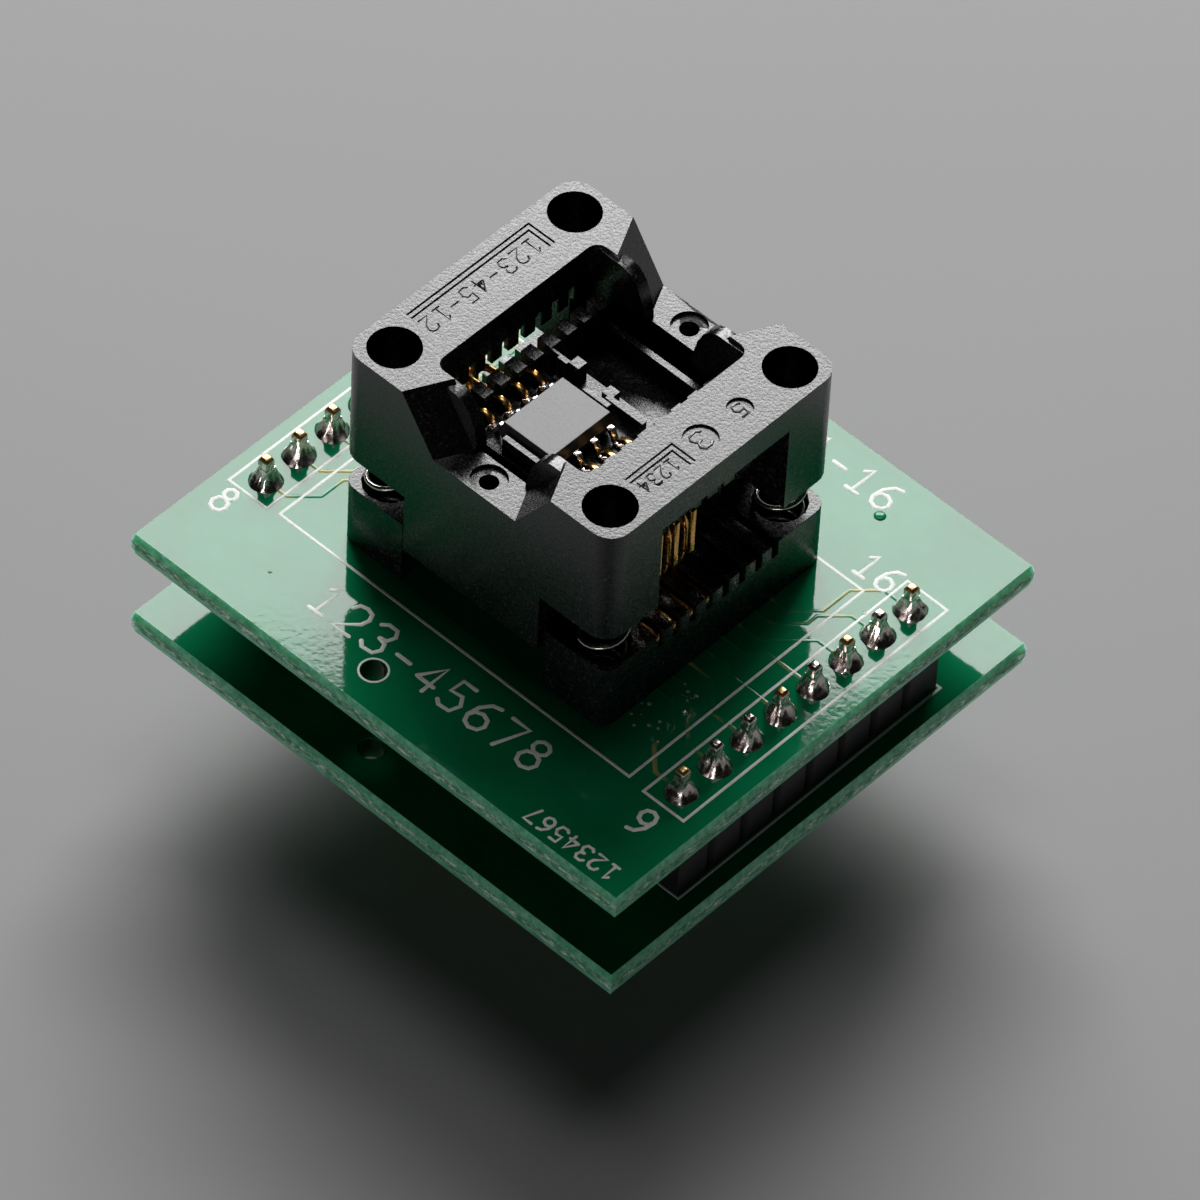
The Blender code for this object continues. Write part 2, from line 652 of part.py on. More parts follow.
def slot_cuts():
    # One slot for each contact place: through the combs, along the slab and down its edge.
    outside = BASE_LENGTH / 2.0 + BOOLEAN_REACH
    hook = FOOT_END - CONTACT_BAND
    top = COMB_TOP + BOOLEAN_REACH
    points = [(SLOT_START, top), (SLOT_START, GROOVE_FLOOR), (hook, GROOVE_FLOOR)]
    end_floor = FOOT_Z - FOOT_HOOK - END_GROOVE_CLEARANCE
    points += [(hook, end_floor), (outside, end_floor), (outside, top)]
    bm = bmesh.new()
    for side in (-1, 1):
        outline = [(side * x, z) for x, z in points]
        for y in contact_places(CONTACT_PLACES):
            low = y - SLOT_WIDTH / 2.0
            add_outline(bm, outline, low, low + SLOT_WIDTH, upright=True)
    return bm


def tail_cuts():
    bm = bmesh.new()
    half = SLOT_WIDTH / 2.0
    for side in (-1, 1):
        for y in contact_places(CONTACT_PLACES):
            low = (side * TAIL_X - half, y - half, -BOOLEAN_REACH)
            high = (side * TAIL_X + half, y + half, GROOVE_FLOOR + BOOLEAN_REACH)
            add_box(bm, low, high)
    return bm


def corner_rounds(low, high, diameter, sides):
    bm = bmesh.new()
    for x in (-CORNER_X, CORNER_X):
        for y in (-CORNER_Y, CORNER_Y):
            add_round(bm, x, y, low, high, diameter / 2.0, sides)
    return bm


def make_base(parts, tools, socket, material):
    base = link_new("socket_base", mesh_from(base_body(), "socket_base"), parts, socket)
    base.data.materials.append(material)
    high = BASE_HEIGHT + BOOLEAN_REACH
    pockets = corner_rounds(SPRING_POCKET_FLOOR, high, SPRING_POCKET_DIAMETER, POCKET_SIDES)
    steps = (
        ("pedestal", pedestal_body(), "UNION"),
        ("nest_hollow", nest_cuts(), "DIFFERENCE"),
        ("nest_guides", nest_guides(), "UNION"),
        ("nest_blocks", nest_blocks(), "UNION"),
        ("nest_mark", nest_mark(), "DIFFERENCE"),
        ("contact_slots", slot_cuts(), "DIFFERENCE"),
        ("tail_slots", tail_cuts(), "DIFFERENCE"),
        ("base_pockets", pockets, "DIFFERENCE"),
        ("hook_pockets", hook_pockets(), "DIFFERENCE"),
    )
    for name, bm, operation in steps:
        boolean(base, make_tool(name, bm, tools, socket), operation)


def cover_plate():
    bm = bmesh.new()
    half_x = COVER_LENGTH / 2.0 + BOOLEAN_REACH
    half_y = COVER_WIDTH / 2.0 + BOOLEAN_REACH
    add_box(bm, (-half_x, -half_y, BAR_BOTTOM), (half_x, half_y, COVER_TOP))
    return bm


def end_walls():
    # Each end wall with its two legs, seen from above. The envelope trims the outer faces.
    outer_x = COVER_LENGTH / 2.0 + BOOLEAN_REACH / 2.0
    outer_y = COVER_WIDTH / 2.0 + BOOLEAN_REACH / 2.0
    half = [(outer_x, outer_y), (outer_x, LEG_INNER_Y), (LEG_INNER_X, LEG_INNER_Y)]
    half += [(LEG_INNER_X, END_WALL_INNER)]
    points = half + [(-x, y) for x, y in reversed(half)]
    top = BAR_BOTTOM + BOOLEAN_REACH
    bm = bmesh.new()
    add_outline(bm, points, LEG_BOTTOM, top)
    add_outline(bm, [(x, -y) for x, y in points], LEG_BOTTOM, top)
    return bm


def skirts():
    # A skirt under each end wall runs down between the posts.
    half = SKIRT_LENGTH / 2.0
    inner = END_WALL_INNER + SKIRT_SETBACK
    outer = COVER_WIDTH / 2.0 + BOOLEAN_REACH
    bm = bmesh.new()
    for side in (-1, 1):
        y = sorted((side * inner, side * outer))
        add_box(bm, (-half, y[0], SKIRT_BOTTOM), (half, y[1], LEG_BOTTOM + BOOLEAN_REACH))
    return bm


def hooks():
    # A hook on the inner side of each skirt, which keeps the cover on the base.
    half = HOOK_LENGTH / 2.0
    inner = RECESS_FROM_CENTRE - HOOK_REACH
    outer = END_WALL_INNER + BOOLEAN_REACH
    low, high = hook_heights()
    bm = bmesh.new()
    for side in (-1, 1):
        y = sorted((side * inner, side * outer))
        add_box(bm, (-half, y[0], low), (half, y[1], high))
    return bm


def window_cut():
    bm = bmesh.new()
    outline = rounded_outline(WINDOW_LENGTH / 2.0, WINDOW_WIDTH / 2.0, WINDOW_CORNER_RADIUS)
    add_outline(bm, outline, BAR_BOTTOM - BOOLEAN_REACH, COVER_TOP + BOOLEAN_REACH)
    return bm


def notch_cuts():
    # A trough over each end wall. Its sloped sides spread towards the outside.
    spread = (TROUGH_OUTER_HALF - TROUGH_INNER_HALF) / (COVER_WIDTH / 2.0 - END_WALL_INNER)
    slope = TROUGH_SLOPE_RUN / TROUGH_DEPTH
    inner_y = WINDOW_WIDTH / 2.0 - BOOLEAN_REACH
    outer_y = COVER_WIDTH / 2.0 + BOOLEAN_REACH * 2.0
    rise = TROUGH_DEPTH + BOOLEAN_REACH
    bm = bmesh.new()
    for side in (-1, 1):
        made = bmesh.ops.create_cube(bm, size=1.0)
        for vert in made["verts"]:
            y = outer_y if vert.co.y > 0 else inner_y
            lift = rise if vert.co.z > 0 else 0.0
            half = TROUGH_INNER_HALF + spread * (y - END_WALL_INNER) + slope * lift
            vert.co = (math.copysign(half, vert.co.x), side * y, LOW_BAR_TOP + lift)
        if side < 0:
            bmesh.ops.reverse_faces(bm, faces=list({f for v in made["verts"] for f in v.link_faces}))
    return bm


def fin_outline():
    # The fin that lines the inner side of a trough, from the bar down to its foot.
    root = LEG_INNER_X + BOOLEAN_REACH
    bottom = LEG_BOTTOM + FIN_THICKNESS / 2.0
    points = [(root, bottom), (root, FIN_TOP), (FIN_REACH, FIN_TOP)]
    run = FIN_REACH - FIN_FOOT
    fall = FIN_TOP - LOW_BAR_TOP + FIN_THICKNESS
    for step in range(1, FIN_STEPS + 1):
        angle = math.radians(90.0 * step / FIN_STEPS)
        points.append((FIN_REACH - run * math.sin(angle), FIN_TOP - fall * (1.0 - math.cos(angle))))
    points.append((FIN_FOOT, bottom))
    return points


def fins():
    inner = END_WALL_INNER - FIN_THICKNESS
    outer = END_WALL_INNER + BOOLEAN_REACH / 2.0
    bm = bmesh.new()
    for side in (-1, 1):
        outline = [(side * x, z) for x, z in fin_outline()]
        add_outline(bm, outline, inner, outer, upright=True)
        add_outline(bm, outline, -outer, -inner, upright=True)
    return bm


def lips():
    # Two lips hang from each side bar, one over the shelf and one beside the bows.
    inner = WINDOW_LENGTH / 2.0 + LIP_SETBACK
    spans = (
        (inner, inner + LIP_WIDTH, LIP_BOTTOM),
        (OUTER_LIP_OUTER - OUTER_LIP_WIDTH, OUTER_LIP_OUTER, OUTER_LIP_BOTTOM),
    )
    top = BAR_BOTTOM + BOOLEAN_REACH
    half = LEG_INNER_Y + BOOLEAN_REACH
    bm = bmesh.new()
    for side in (-1, 1):
        for near, far, bottom in spans:
            x = sorted((side * near, side * far))
            add_box(bm, (x[0], -half, bottom), (x[1], half, top))
    return bm


def lip_notches():
    # Every contact gets a notch in both lips.
    inner = WINDOW_LENGTH / 2.0
    reach = BOOLEAN_REACH
    spans = (
        (inner - reach, inner + LIP_WIDTH + reach, LIP_BOTTOM, LIP_NOTCH_DEPTH),
        (OUTER_LIP_OUTER - OUTER_LIP_WIDTH - reach, OUTER_LIP_OUTER + reach,
         OUTER_LIP_BOTTOM, OUTER_LIP_NOTCH_DEPTH),
    )
    half = SLOT_WIDTH / 2.0
    bm = bmesh.new()
    for side in (-1, 1):
        for near, far, bottom, depth in spans:
            x = sorted((side * near, side * far))
            for y in contact_places(CONTACT_PLACES):
                add_box(bm, (x[0], y - half, bottom - reach), (x[1], y + half, bottom + depth))
    return bm


def ring_marks(depth, diameter):
    bm = bmesh.new()
    for side in (-1, 1):
        y = side * RING_FROM_CENTRE
        high = LOW_BAR_TOP + BOOLEAN_REACH
        add_round(bm, 0.0, y, LOW_BAR_TOP - depth, high, diameter / 2.0, ROUND_SIDES)
    return bm


def angle_mark(bm, corner, reach_x, reach_y):
    # A right angle of fine grooves: one leg along X and one along Y from its corner.
    half = MARK_WIDTH / 2.0
    x, y = corner
    side_x = math.copysign(half, reach_x)
    side_y = math.copysign(half, reach_y)
    tip_x = x + reach_x + side_x
    tip_y = y + reach_y + side_y
    points = [(x - side_x, y - side_y), (tip_x, y - side_y), (tip_x, y + side_y)]
    points += [(x + side_x, y + side_y), (x + side_x, tip_y), (x - side_x, tip_y)]
    add_outline(bm, points, COVER_TOP - MARK_DEPTH, COVER_TOP + BOOLEAN_REACH)


def top_marks():
    # Two nested right angles on each bar, and two shallow discs on the right bar.
    edge = COVER_LENGTH / 2.0
    bm = bmesh.new()
    for inset in (0.0, MARK_SPACING):
        left = (-edge + LEFT_MARK_FROM_EDGE + inset, LEFT_MARK_FAR_Y - inset)
        angle_mark(bm, left, LEFT_MARK_REACH - inset, inset - LEFT_MARK_LENGTH)
        right = (edge - RIGHT_MARK_FROM_EDGE + inset, RIGHT_MARK_FAR_Y - inset)
        angle_mark(bm, right, RIGHT_MARK_REACH - inset, inset - RIGHT_MARK_LENGTH)
    low = COVER_TOP - MARK_DEPTH
    high = COVER_TOP + BOOLEAN_REACH
    x = edge - DISC_FROM_EDGE
    add_round(bm, x, LARGE_DISC_Y, low, high, LARGE_DISC_DIAMETER / 2.0, ROUND_SIDES)
    add_round(bm, x, SMALL_DISC_Y, low, high, SMALL_DISC_DIAMETER / 2.0, ROUND_SIDES)
    return bm


def cover_envelope():
    bm = bmesh.new()
    outline = rounded_outline(COVER_LENGTH / 2.0, COVER_WIDTH / 2.0, COVER_CORNER_RADIUS)
    add_outline(bm, outline, SKIRT_BOTTOM - BOOLEAN_REACH, COVER_TOP + BOOLEAN_REACH)
    return bm


def make_cover(parts, tools, socket, material):
    cover = link_new("socket_cover", mesh_from(cover_plate(), "socket_cover"), parts, socket)
    cover.data.materials.append(material)
    high = COVER_TOP + BOOLEAN_REACH
    top_holes = corner_rounds(COVER_TOP - TOP_HOLE_DEPTH, high, TOP_HOLE_DIAMETER, ROUND_SIDES)
    low = LEG_BOTTOM - BOOLEAN_REACH
    pockets = corner_rounds(low, SPRING_CEILING, SPRING_POCKET_DIAMETER, POCKET_SIDES)
    steps = (
        ("end_walls", end_walls(), "UNION"),
        ("skirts", skirts(), "UNION"),
        ("hooks", hooks(), "UNION"),
        ("window", window_cut(), "DIFFERENCE"),
        ("end_troughs", notch_cuts(), "DIFFERENCE"),
        ("fins", fins(), "UNION"),
        ("lips", lips(), "UNION"),
        ("lip_notches", lip_notches(), "DIFFERENCE"),
        ("top_holes", top_holes, "DIFFERENCE"),
        ("cover_pockets", pockets, "DIFFERENCE"),
        ("ring_marks", ring_marks(RING_DEPTH, RING_DIAMETER), "DIFFERENCE"),
        ("ring_holes", ring_marks(RING_HOLE_DEPTH, RING_HOLE_DIAMETER), "DIFFERENCE"),
        ("top_marks", top_marks(), "DIFFERENCE"),
        ("cover_envelope", cover_envelope(), "INTERSECT"),
    )
    for name, bm, operation in steps:
        boolean(cover, make_tool(name, bm, tools, socket), operation)


def spring_mesh():
    # A compression spring with a closed turn at each end.
    radius = (SPRING_DIAMETER - SPRING_WIRE) / 2.0
    low = SPRING_POCKET_FLOOR + SPRING_WIRE / 2.0 + SPRING_END_GAP
    high = SPRING_CEILING - SPRING_WIRE / 2.0 - SPRING_END_GAP
    closed_rise = SPRING_CLOSED_PITCH
    count = int(SPRING_TURNS * SPRING_STEPS)
    curve = bpy.data.curves.new("spring", "CURVE")
    curve.dimensions = "3D"
    curve.bevel_depth = SPRING_WIRE / 2.0
    curve.bevel_resolution = 1
    curve.use_fill_caps = True
    spline = curve.splines.new("POLY")
    spline.points.add(count)
    for index, point in enumerate(spline.points):
        turn = index * SPRING_TURNS / count
        left = SPRING_TURNS - turn
        if turn < 1.0:
            z = low + closed_rise * turn
        elif left < 1.0:
            z = high - closed_rise * left
        else:
            share = (turn - 1.0) / (SPRING_TURNS - 2.0)
            z = low + closed_rise + share * (high - low - 2.0 * closed_rise)
        angle = 2.0 * math.pi * turn
        point.co = (radius * math.cos(angle), radius * math.sin(angle), z, 1.0)
    guide = bpy.data.objects.new("spring", curve)
    bpy.context.scene.collection.objects.link(guide)
    mesh = settled_mesh(guide, "spring")
    bm = bmesh.new()
    bm.from_mesh(mesh)
    bmesh.ops.remove_doubles(bm, verts=bm.verts, dist=0.000001)
    bmesh.ops.recalc_face_normals(bm, faces=bm.faces)
    bm.to_mesh(mesh)
    bm.free()
    bpy.data.objects.remove(guide, do_unlink=True)
    return mesh


def make_springs(parts, socket, material):
    mesh = spring_mesh()
    mesh.materials.clear()
    mesh.materials.append(material)
    places = ((-1, -1), (1, -1), (1, 1), (-1, 1))
    for number, (side_x, side_y) in enumerate(places, start=1):
        place = (side_x * CORNER_X, side_y * CORNER_Y, 0.0)
        link_new(f"spring_{number}", mesh, parts, socket, place)


def contact_path():
    # The middle line of a right-hand contact in X and Z, from its nose to its hooked foot.
    nose_x = (LEAD_SPAN - LEAD_FOOT) / 2.0
    nose_z = lead_foot_bottom() + LEAD_THICKNESS + CONTACT_GAP + CONTACT_BAND / 2.0
    start = math.radians(HUMP_START_ANGLE)
    hump = (nose_x - HUMP_RADIUS * math.cos(start), nose_z - HUMP_RADIUS * math.sin(start))
    shoulder = (BOW_X - SHOULDER_RADIUS, PEDESTAL_SHELF + SHOULDER_RISE - SHOULDER_RADIUS)
    points = arc_points(hump, HUMP_RADIUS, HUMP_START_ANGLE, 0.0, HUMP_STEPS)
    points.append((COMB_OUTER, PEDESTAL_SHELF + ARM_RISE))
    points += arc_points(shoulder, SHOULDER_RADIUS, 90.0, 0.0, SHOULDER_STEPS)
    points.append((BOW_X, PIVOT_Z + SHOULDER_RADIUS))
    points.append((PIVOT_X + HEEL_RADIUS, PIVOT_Z + HEEL_RADIUS))
    points.append((PIVOT_X, FOOT_Z + HEEL_RADIUS))
    points += [(PIVOT_X + HEEL_RADIUS, FOOT_Z), (FOOT_END, FOOT_Z), (FOOT_END, FOOT_Z - FOOT_HOOK)]
    return points


def lever_path():
    # The lever that stands outside the bow, from its foot on the bow up to its end.
    foot = PIVOT_Z + LEVER_FOOT_RISE
    arm = PIVOT_X + LEVER_REACH
    return [(BOW_X, foot), (arm, foot), (arm, LEVER_TOP)]


def stamped_band(name, path, band, collection):
    # A path in X and Z becomes a band, with its origin on the contact's pivot.
    bm = bmesh.new()
    half = CONTACT_THICKNESS / 2.0
    verts = [bm.verts.new((x - PIVOT_X, -half, z - PIVOT_Z)) for x, z in path]
    edges = [bm.edges.new(pair) for pair in zip(verts, verts[1:])]
    grown = bmesh.ops.extrude_edge_only(bm, edges=edges)["geom"]
    moved = [item for item in grown if isinstance(item, bmesh.types.BMVert)]
    bmesh.ops.translate(bm, vec=(0, CONTACT_THICKNESS, 0), verts=moved)
    strip = link_new(name, mesh_from(bm, name), collection)
    wall = strip.modifiers.new("band", "SOLIDIFY")
    wall.thickness = band
    wall.offset = 0.0
    wall.use_even_offset = True
    return strip


def contact_mesh(parts, tools):
    # The contact's strip with its lever and its tail. The upper arm turns about the origin.
    strip = stamped_band("contact_strip", contact_path(), CONTACT_BAND, parts)
    lever = stamped_band("contact_lever", lever_path(), LEVER_BAND, tools)
    boolean(strip, lever, "UNION")
    bm = bmesh.new()
    half = CONTACT_THICKNESS / 2.0
    low = -BOARD_THICKNESS - TAIL_BELOW_BOARD - PIVOT_Z
    x = TAIL_X - PIVOT_X
    side = TAIL_SIDE / 2.0
    add_box(bm, (x - side, -half, low), (x + side, half, FOOT_Z - PIVOT_Z))
    tail = link_new("contact_tail", mesh_from(bm, "contact_tail"), tools)
    boolean(strip, tail, "UNION")
    mesh = settled_mesh(strip, "contact")
    for item in (strip, lever, tail):
        bpy.data.objects.remove(item, do_unlink=True)
    return mesh


def make_contacts(parts, tools, socket, material):
    mesh = contact_mesh(parts, tools)
    mesh.materials.clear()
    mesh.materials.append(material)
    for side, word in ((-1, "left"), (1, "right")):
        for number, y in enumerate(contact_places(LOADED_PLACES), start=1):
            place = (side * PIVOT_X, y, PIVOT_Z)
            contact = link_new(f"contact_{word}_{number}", mesh, parts, socket, place)
            contact.rotation_euler.z = 0.0 if side > 0 else math.pi


def lead_foot_bottom():
    return LEAD_LEDGE + LEAD_GAP


def chip_body():
    # The moulded body, drafted above and below its parting line.
    bottom = lead_foot_bottom() + CHIP_STANDOFF
    parting = bottom + CHIP_PARTING
    top = bottom + CHIP_HEIGHT
    bm = bmesh.new()
    add_box(bm, (-CHIP_WIDTH / 2.0, -CHIP_LENGTH / 2.0, bottom), (CHIP_WIDTH / 2.0, CHIP_LENGTH / 2.0, top))
    middle = bmesh.ops.bisect_plane(bm, geom=bm.verts[:] + bm.edges[:] + bm.faces[:],
                                    plane_co=(0, 0, parting), plane_no=(0, 0, 1))
    kept = {item for item in middle["geom_cut"] if isinstance(item, bmesh.types.BMVert)}
    for vert in bm.verts:
        if vert not in kept:
            vert.co.x -= math.copysign(CHIP_DRAFT, vert.co.x)
            vert.co.y -= math.copysign(CHIP_DRAFT, vert.co.y)
    return bm


def lead_outline():
    # A gull-wing lead seen along Y, from inside the body to its foot.
    foot = lead_foot_bottom()
    shoulder = foot + CHIP_STANDOFF + CHIP_PARTING - LEAD_THICKNESS / 2.0
    body = CHIP_WIDTH / 2.0
    tip = LEAD_SPAN / 2.0
    knee = tip - LEAD_FOOT
    thick = LEAD_THICKNESS
    bend = body + LEAD_SHOULDER
    root = body - LEAD_ROOT
    points = [(root, shoulder), (bend, shoulder), (knee - LEAD_LEAN, foot), (tip, foot)]
    points += [(tip, foot + thick), (knee + LEAD_LEAN, foot + thick)]
    points += [(bend + 2.0 * LEAD_LEAN, shoulder + thick), (root, shoulder + thick)]
    return points


def chip_leads():
    bm = bmesh.new()
    for side in (-1, 1):
        outline = [(side * x, z) for x, z in lead_outline()]
        for y in contact_places(LOADED_PLACES):
            low = y + CHIP_FROM_CENTRE - LEAD_WIDTH / 2.0
            add_outline(bm, outline, low, low + LEAD_WIDTH, upright=True)
    return bm


def make_chip(parts, tools, socket, material):
    place = (0.0, -CHIP_FROM_CENTRE, 0.0)
    chip = link_new("test_chip", mesh_from(chip_body(), "test_chip"), parts, socket, place)
    chip.data.materials.append(material)
    leads = make_tool("chip_leads", chip_leads(), tools, socket)
    leads.location = place
    boolean(chip, leads, "UNION")


def shade_round_pieces(parts):
    for item in parts.objects:
        if item.type == "MESH":
            item.data.shade_smooth()
            item.data.set_sharp_from_angle(angle=math.radians(35.0))


def main():
    clear_scene()
    parts = make_collection("ic_test_socket")
    tools = make_collection("cutters")
    board = make_material("green_board", (0.01, 0.16, 0.07), 0.35, 0.0)
    black = make_material("black_moulding", (0.02, 0.02, 0.022), 0.45, 0.0)
    epoxy = make_material("chip_epoxy", (0.06, 0.06, 0.06), 0.55, 0.0)
    gold = make_material("gold_plate", (0.85, 0.62, 0.25), 0.3, 1.0)
    steel = make_material("spring_steel", (0.62, 0.61, 0.58), 0.3, 1.0)
    tin = make_material("tinned_pin", (0.70, 0.68, 0.63), 0.35, 1.0)
    socket = bpy.data.objects.new("socket_frame", None)
    parts.objects.link(socket)
    socket.location = (SOCKET_X, SOCKET_Y, UPPER_BOARD_TOP)
    make_boards(parts, tools, board)
    make_strips(parts, tools, black)
    make_pins(parts, tools, tin)
    make_base(parts, tools, socket, black)
    make_cover(parts, tools, socket, black)
    make_springs(parts, socket, steel)
    make_contacts(parts, tools, socket, gold)
    make_chip(parts, tools, socket, epoxy)
    shade_round_pieces(parts)


main()
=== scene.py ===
# Test socket for a small chip on its two plug-in boards: the finishes and the fine shapes.
import json
import math
import random

import bmesh
import bpy
from mathutils import Matrix, Vector, noise


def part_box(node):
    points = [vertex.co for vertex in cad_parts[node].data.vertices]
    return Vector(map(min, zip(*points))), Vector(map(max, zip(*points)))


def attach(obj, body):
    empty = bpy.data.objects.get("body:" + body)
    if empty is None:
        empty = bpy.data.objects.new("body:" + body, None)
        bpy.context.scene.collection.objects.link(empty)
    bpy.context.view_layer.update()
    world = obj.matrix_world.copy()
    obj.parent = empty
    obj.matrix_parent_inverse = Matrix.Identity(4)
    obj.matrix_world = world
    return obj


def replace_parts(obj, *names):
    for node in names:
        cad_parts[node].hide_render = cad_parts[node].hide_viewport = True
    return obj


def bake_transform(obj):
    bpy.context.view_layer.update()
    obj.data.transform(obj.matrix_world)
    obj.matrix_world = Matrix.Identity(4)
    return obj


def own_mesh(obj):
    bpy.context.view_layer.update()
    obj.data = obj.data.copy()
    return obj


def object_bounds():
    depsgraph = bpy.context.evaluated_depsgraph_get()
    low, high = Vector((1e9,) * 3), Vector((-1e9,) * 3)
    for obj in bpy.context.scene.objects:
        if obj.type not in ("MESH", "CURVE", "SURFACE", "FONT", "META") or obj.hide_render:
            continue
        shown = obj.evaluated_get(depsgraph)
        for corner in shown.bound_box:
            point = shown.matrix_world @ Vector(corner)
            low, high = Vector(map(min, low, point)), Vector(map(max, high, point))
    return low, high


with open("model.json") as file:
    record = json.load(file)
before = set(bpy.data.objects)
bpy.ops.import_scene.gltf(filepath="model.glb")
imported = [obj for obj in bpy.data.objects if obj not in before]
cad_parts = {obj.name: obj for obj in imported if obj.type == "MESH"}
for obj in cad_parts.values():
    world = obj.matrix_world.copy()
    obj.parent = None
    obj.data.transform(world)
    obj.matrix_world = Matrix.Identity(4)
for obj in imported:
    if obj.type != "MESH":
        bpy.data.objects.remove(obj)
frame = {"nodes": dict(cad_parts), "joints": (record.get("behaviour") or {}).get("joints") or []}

mm = 0.001
cadLow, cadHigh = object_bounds()
joints = {joint["name"]: joint for joint in frame["joints"]}
print("frame loaded:", len(frame["nodes"]), "nodes")


# Small helpers

def linear(hexColour):
    # sRGB hex to a linear colour
    parts = [int(hexColour[i:i + 2], 16) / 255 for i in (1, 3, 5)]
    return tuple(c / 12.92 if c <= 0.04045 else ((c + 0.055) / 1.055) ** 2.4 for c in parts) + (1.0,)


def addNode(tree, kind, inputs=None, ramp=None, **settings):
    node = tree.nodes.new(kind)
    for key, value in settings.items():
        setattr(node, key, value)
    for key, value in (inputs or {}).items():
        if isinstance(value, bpy.types.NodeSocket):
            tree.links.new(value, node.inputs[key])
        else:
            node.inputs[key].default_value = value
    for index, (place, colour) in enumerate(ramp or []):
        elements = node.color_ramp.elements
        element = elements[index] if index < 2 else elements.new(place)
        element.position = place
        element.color = colour
    return node


def startMaterial(name, colour, values):
    material = bpy.data.materials.new(name)
    material.use_nodes = True
    shader = material.node_tree.nodes["Principled BSDF"]
    shader.inputs["Base Color"].default_value = linear(colour)
    for key, value in values.items():
        shader.inputs[key].default_value = value
    coords = addNode(material.node_tree, "ShaderNodeTexCoord").outputs["Object"]
    return material, material.node_tree, shader, coords


def addObject(name, data):
    item = bpy.data.objects.new(name, data)
    bpy.context.scene.collection.objects.link(item)
    return item


def meshFrom(bm, name):
    mesh = bpy.data.meshes.new(name)
    bm.to_mesh(mesh)
    bm.free()
    return mesh


def finalMesh(item):
    # A new mesh of the object as its modifiers or its curve's section make it
    bpy.context.view_layer.update()
    return bpy.data.meshes.new_from_object(item.evaluated_get(bpy.context.evaluated_depsgraph_get()))


def pieceFrom(bm, name, materials, body, smoothAngle=35):
    mesh = meshFrom(bm, name)
    for material in materials:
        mesh.materials.append(material)
    mesh.shade_smooth()
    mesh.set_sharp_from_angle(angle=math.radians(smoothAngle))
    piece = addObject(name, mesh)
    if body:
        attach(piece, body)
    return piece


def mergedCopy(node):
    # The CAD node's shape with its loose triangles joined and flat areas made whole
    bm = bmesh.new()
    bm.from_mesh(frame["nodes"][node].data)
    bmesh.ops.remove_doubles(bm, verts=bm.verts, dist=0.001 * mm)
    bmesh.ops.dissolve_limit(bm, angle_limit=math.radians(0.5), verts=bm.verts, edges=bm.edges)
    return bm


def addBox(bm, low, high):
    made = bmesh.ops.create_cube(bm, size=1.0)["verts"]
    low, high = Vector(low), Vector(high)
    size = Matrix.Diagonal((*(high - low), 1.0))
    bmesh.ops.transform(bm, matrix=Matrix.Translation((low + high) / 2) @ size, verts=made)
    return made


def addSpun(bm, profile, centre, steps):
    # A profile of (radius, height) turned about a vertical axis; axis points close to poles
    verts = [bm.verts.new((radius, 0, height)) for radius, height in profile]
    edges = [bm.edges.new(pair) for pair in zip(verts, verts[1:])]
    bmesh.ops.spin(bm, geom=verts + edges, cent=(0, 0, 0), axis=(0, 0, 1), angle=2 * math.pi,
                   steps=steps, use_merge=True, use_normal_flip=False, use_duplicate=False)
    made = [vert for vert in bm.verts if vert.tag is False]
    bmesh.ops.remove_doubles(bm, verts=made, dist=0.0005 * mm)
    made = [vert for vert in bm.verts if vert.tag is False]
    bmesh.ops.recalc_face_normals(bm, faces=list({face for vert in made for face in vert.link_faces}))
    bmesh.ops.translate(bm, vec=centre, verts=made)
    for vert in made:
        vert.tag = True
    return made


def startTube(name, width, resolution):
    curve = bpy.data.curves.new(name, "CURVE")
    curve.dimensions = "3D"
    curve.bevel_depth = width / 2
    curve.bevel_resolution = resolution
    curve.use_fill_caps = True
    return curve


def tubeShape(curve, merge, place=Matrix()):
    # The curve's tube as a closed mesh, with points closer than merge joined
    guide = addObject(curve.name + "Guide", curve)
    mesh = finalMesh(guide)
    bpy.data.objects.remove(guide)
    mesh.transform(place)
    bm = bmesh.new()
    bm.from_mesh(mesh)
    bmesh.ops.remove_doubles(bm, verts=bm.verts, dist=merge)
    bmesh.ops.recalc_face_normals(bm, faces=bm.faces)
    bpy.data.meshes.remove(mesh)
    return bm


# How far an open line runs on past its end, and how thin it ends there, as shares of its width
strokeEnd = {"reach": 0.35, "radius": 0.45}


def strokeShape(name, strokes, width, height, top):
    # Lines with a rounded section, half above and half below a face at height top
    curve = startTube(name, width, 2)
    for points, closed in strokes:
        spline = curve.splines.new("POLY")
        line = [(Vector((*point, 0)), 1.0) for point in points]
        if not closed:
            reach = width * strokeEnd["reach"]
            first = line[0][0] + (line[0][0] - line[1][0]).normalized() * reach
            last = line[-1][0] + (line[-1][0] - line[-2][0]).normalized() * reach
            line = [(first, strokeEnd["radius"])] + line + [(last, strokeEnd["radius"])]
        spline.points.add(len(line) - 1)
        for point, (place, radius) in zip(spline.points, line):
            point.co = (*place, 1.0)
            point.radius = radius
        spline.use_cyclic_u = closed
    place = Matrix.Translation((0, 0, top)) @ Matrix.Diagonal((1, 1, height / (width / 2), 1))
    return tubeShape(curve, 0.0005 * mm, place)


def inkPiece(name, strokes, width, height, top, material, body):
    return pieceFrom(strokeShape(name, strokes, width, height, top), name, [material], body)


def easeEdges(bm, edges, radius):
    bmesh.ops.bevel(bm, geom=edges, offset=radius, offset_type="OFFSET", affect="EDGES",
                    segments=2, profile=0.5, material=-1, clamp_overlap=True)


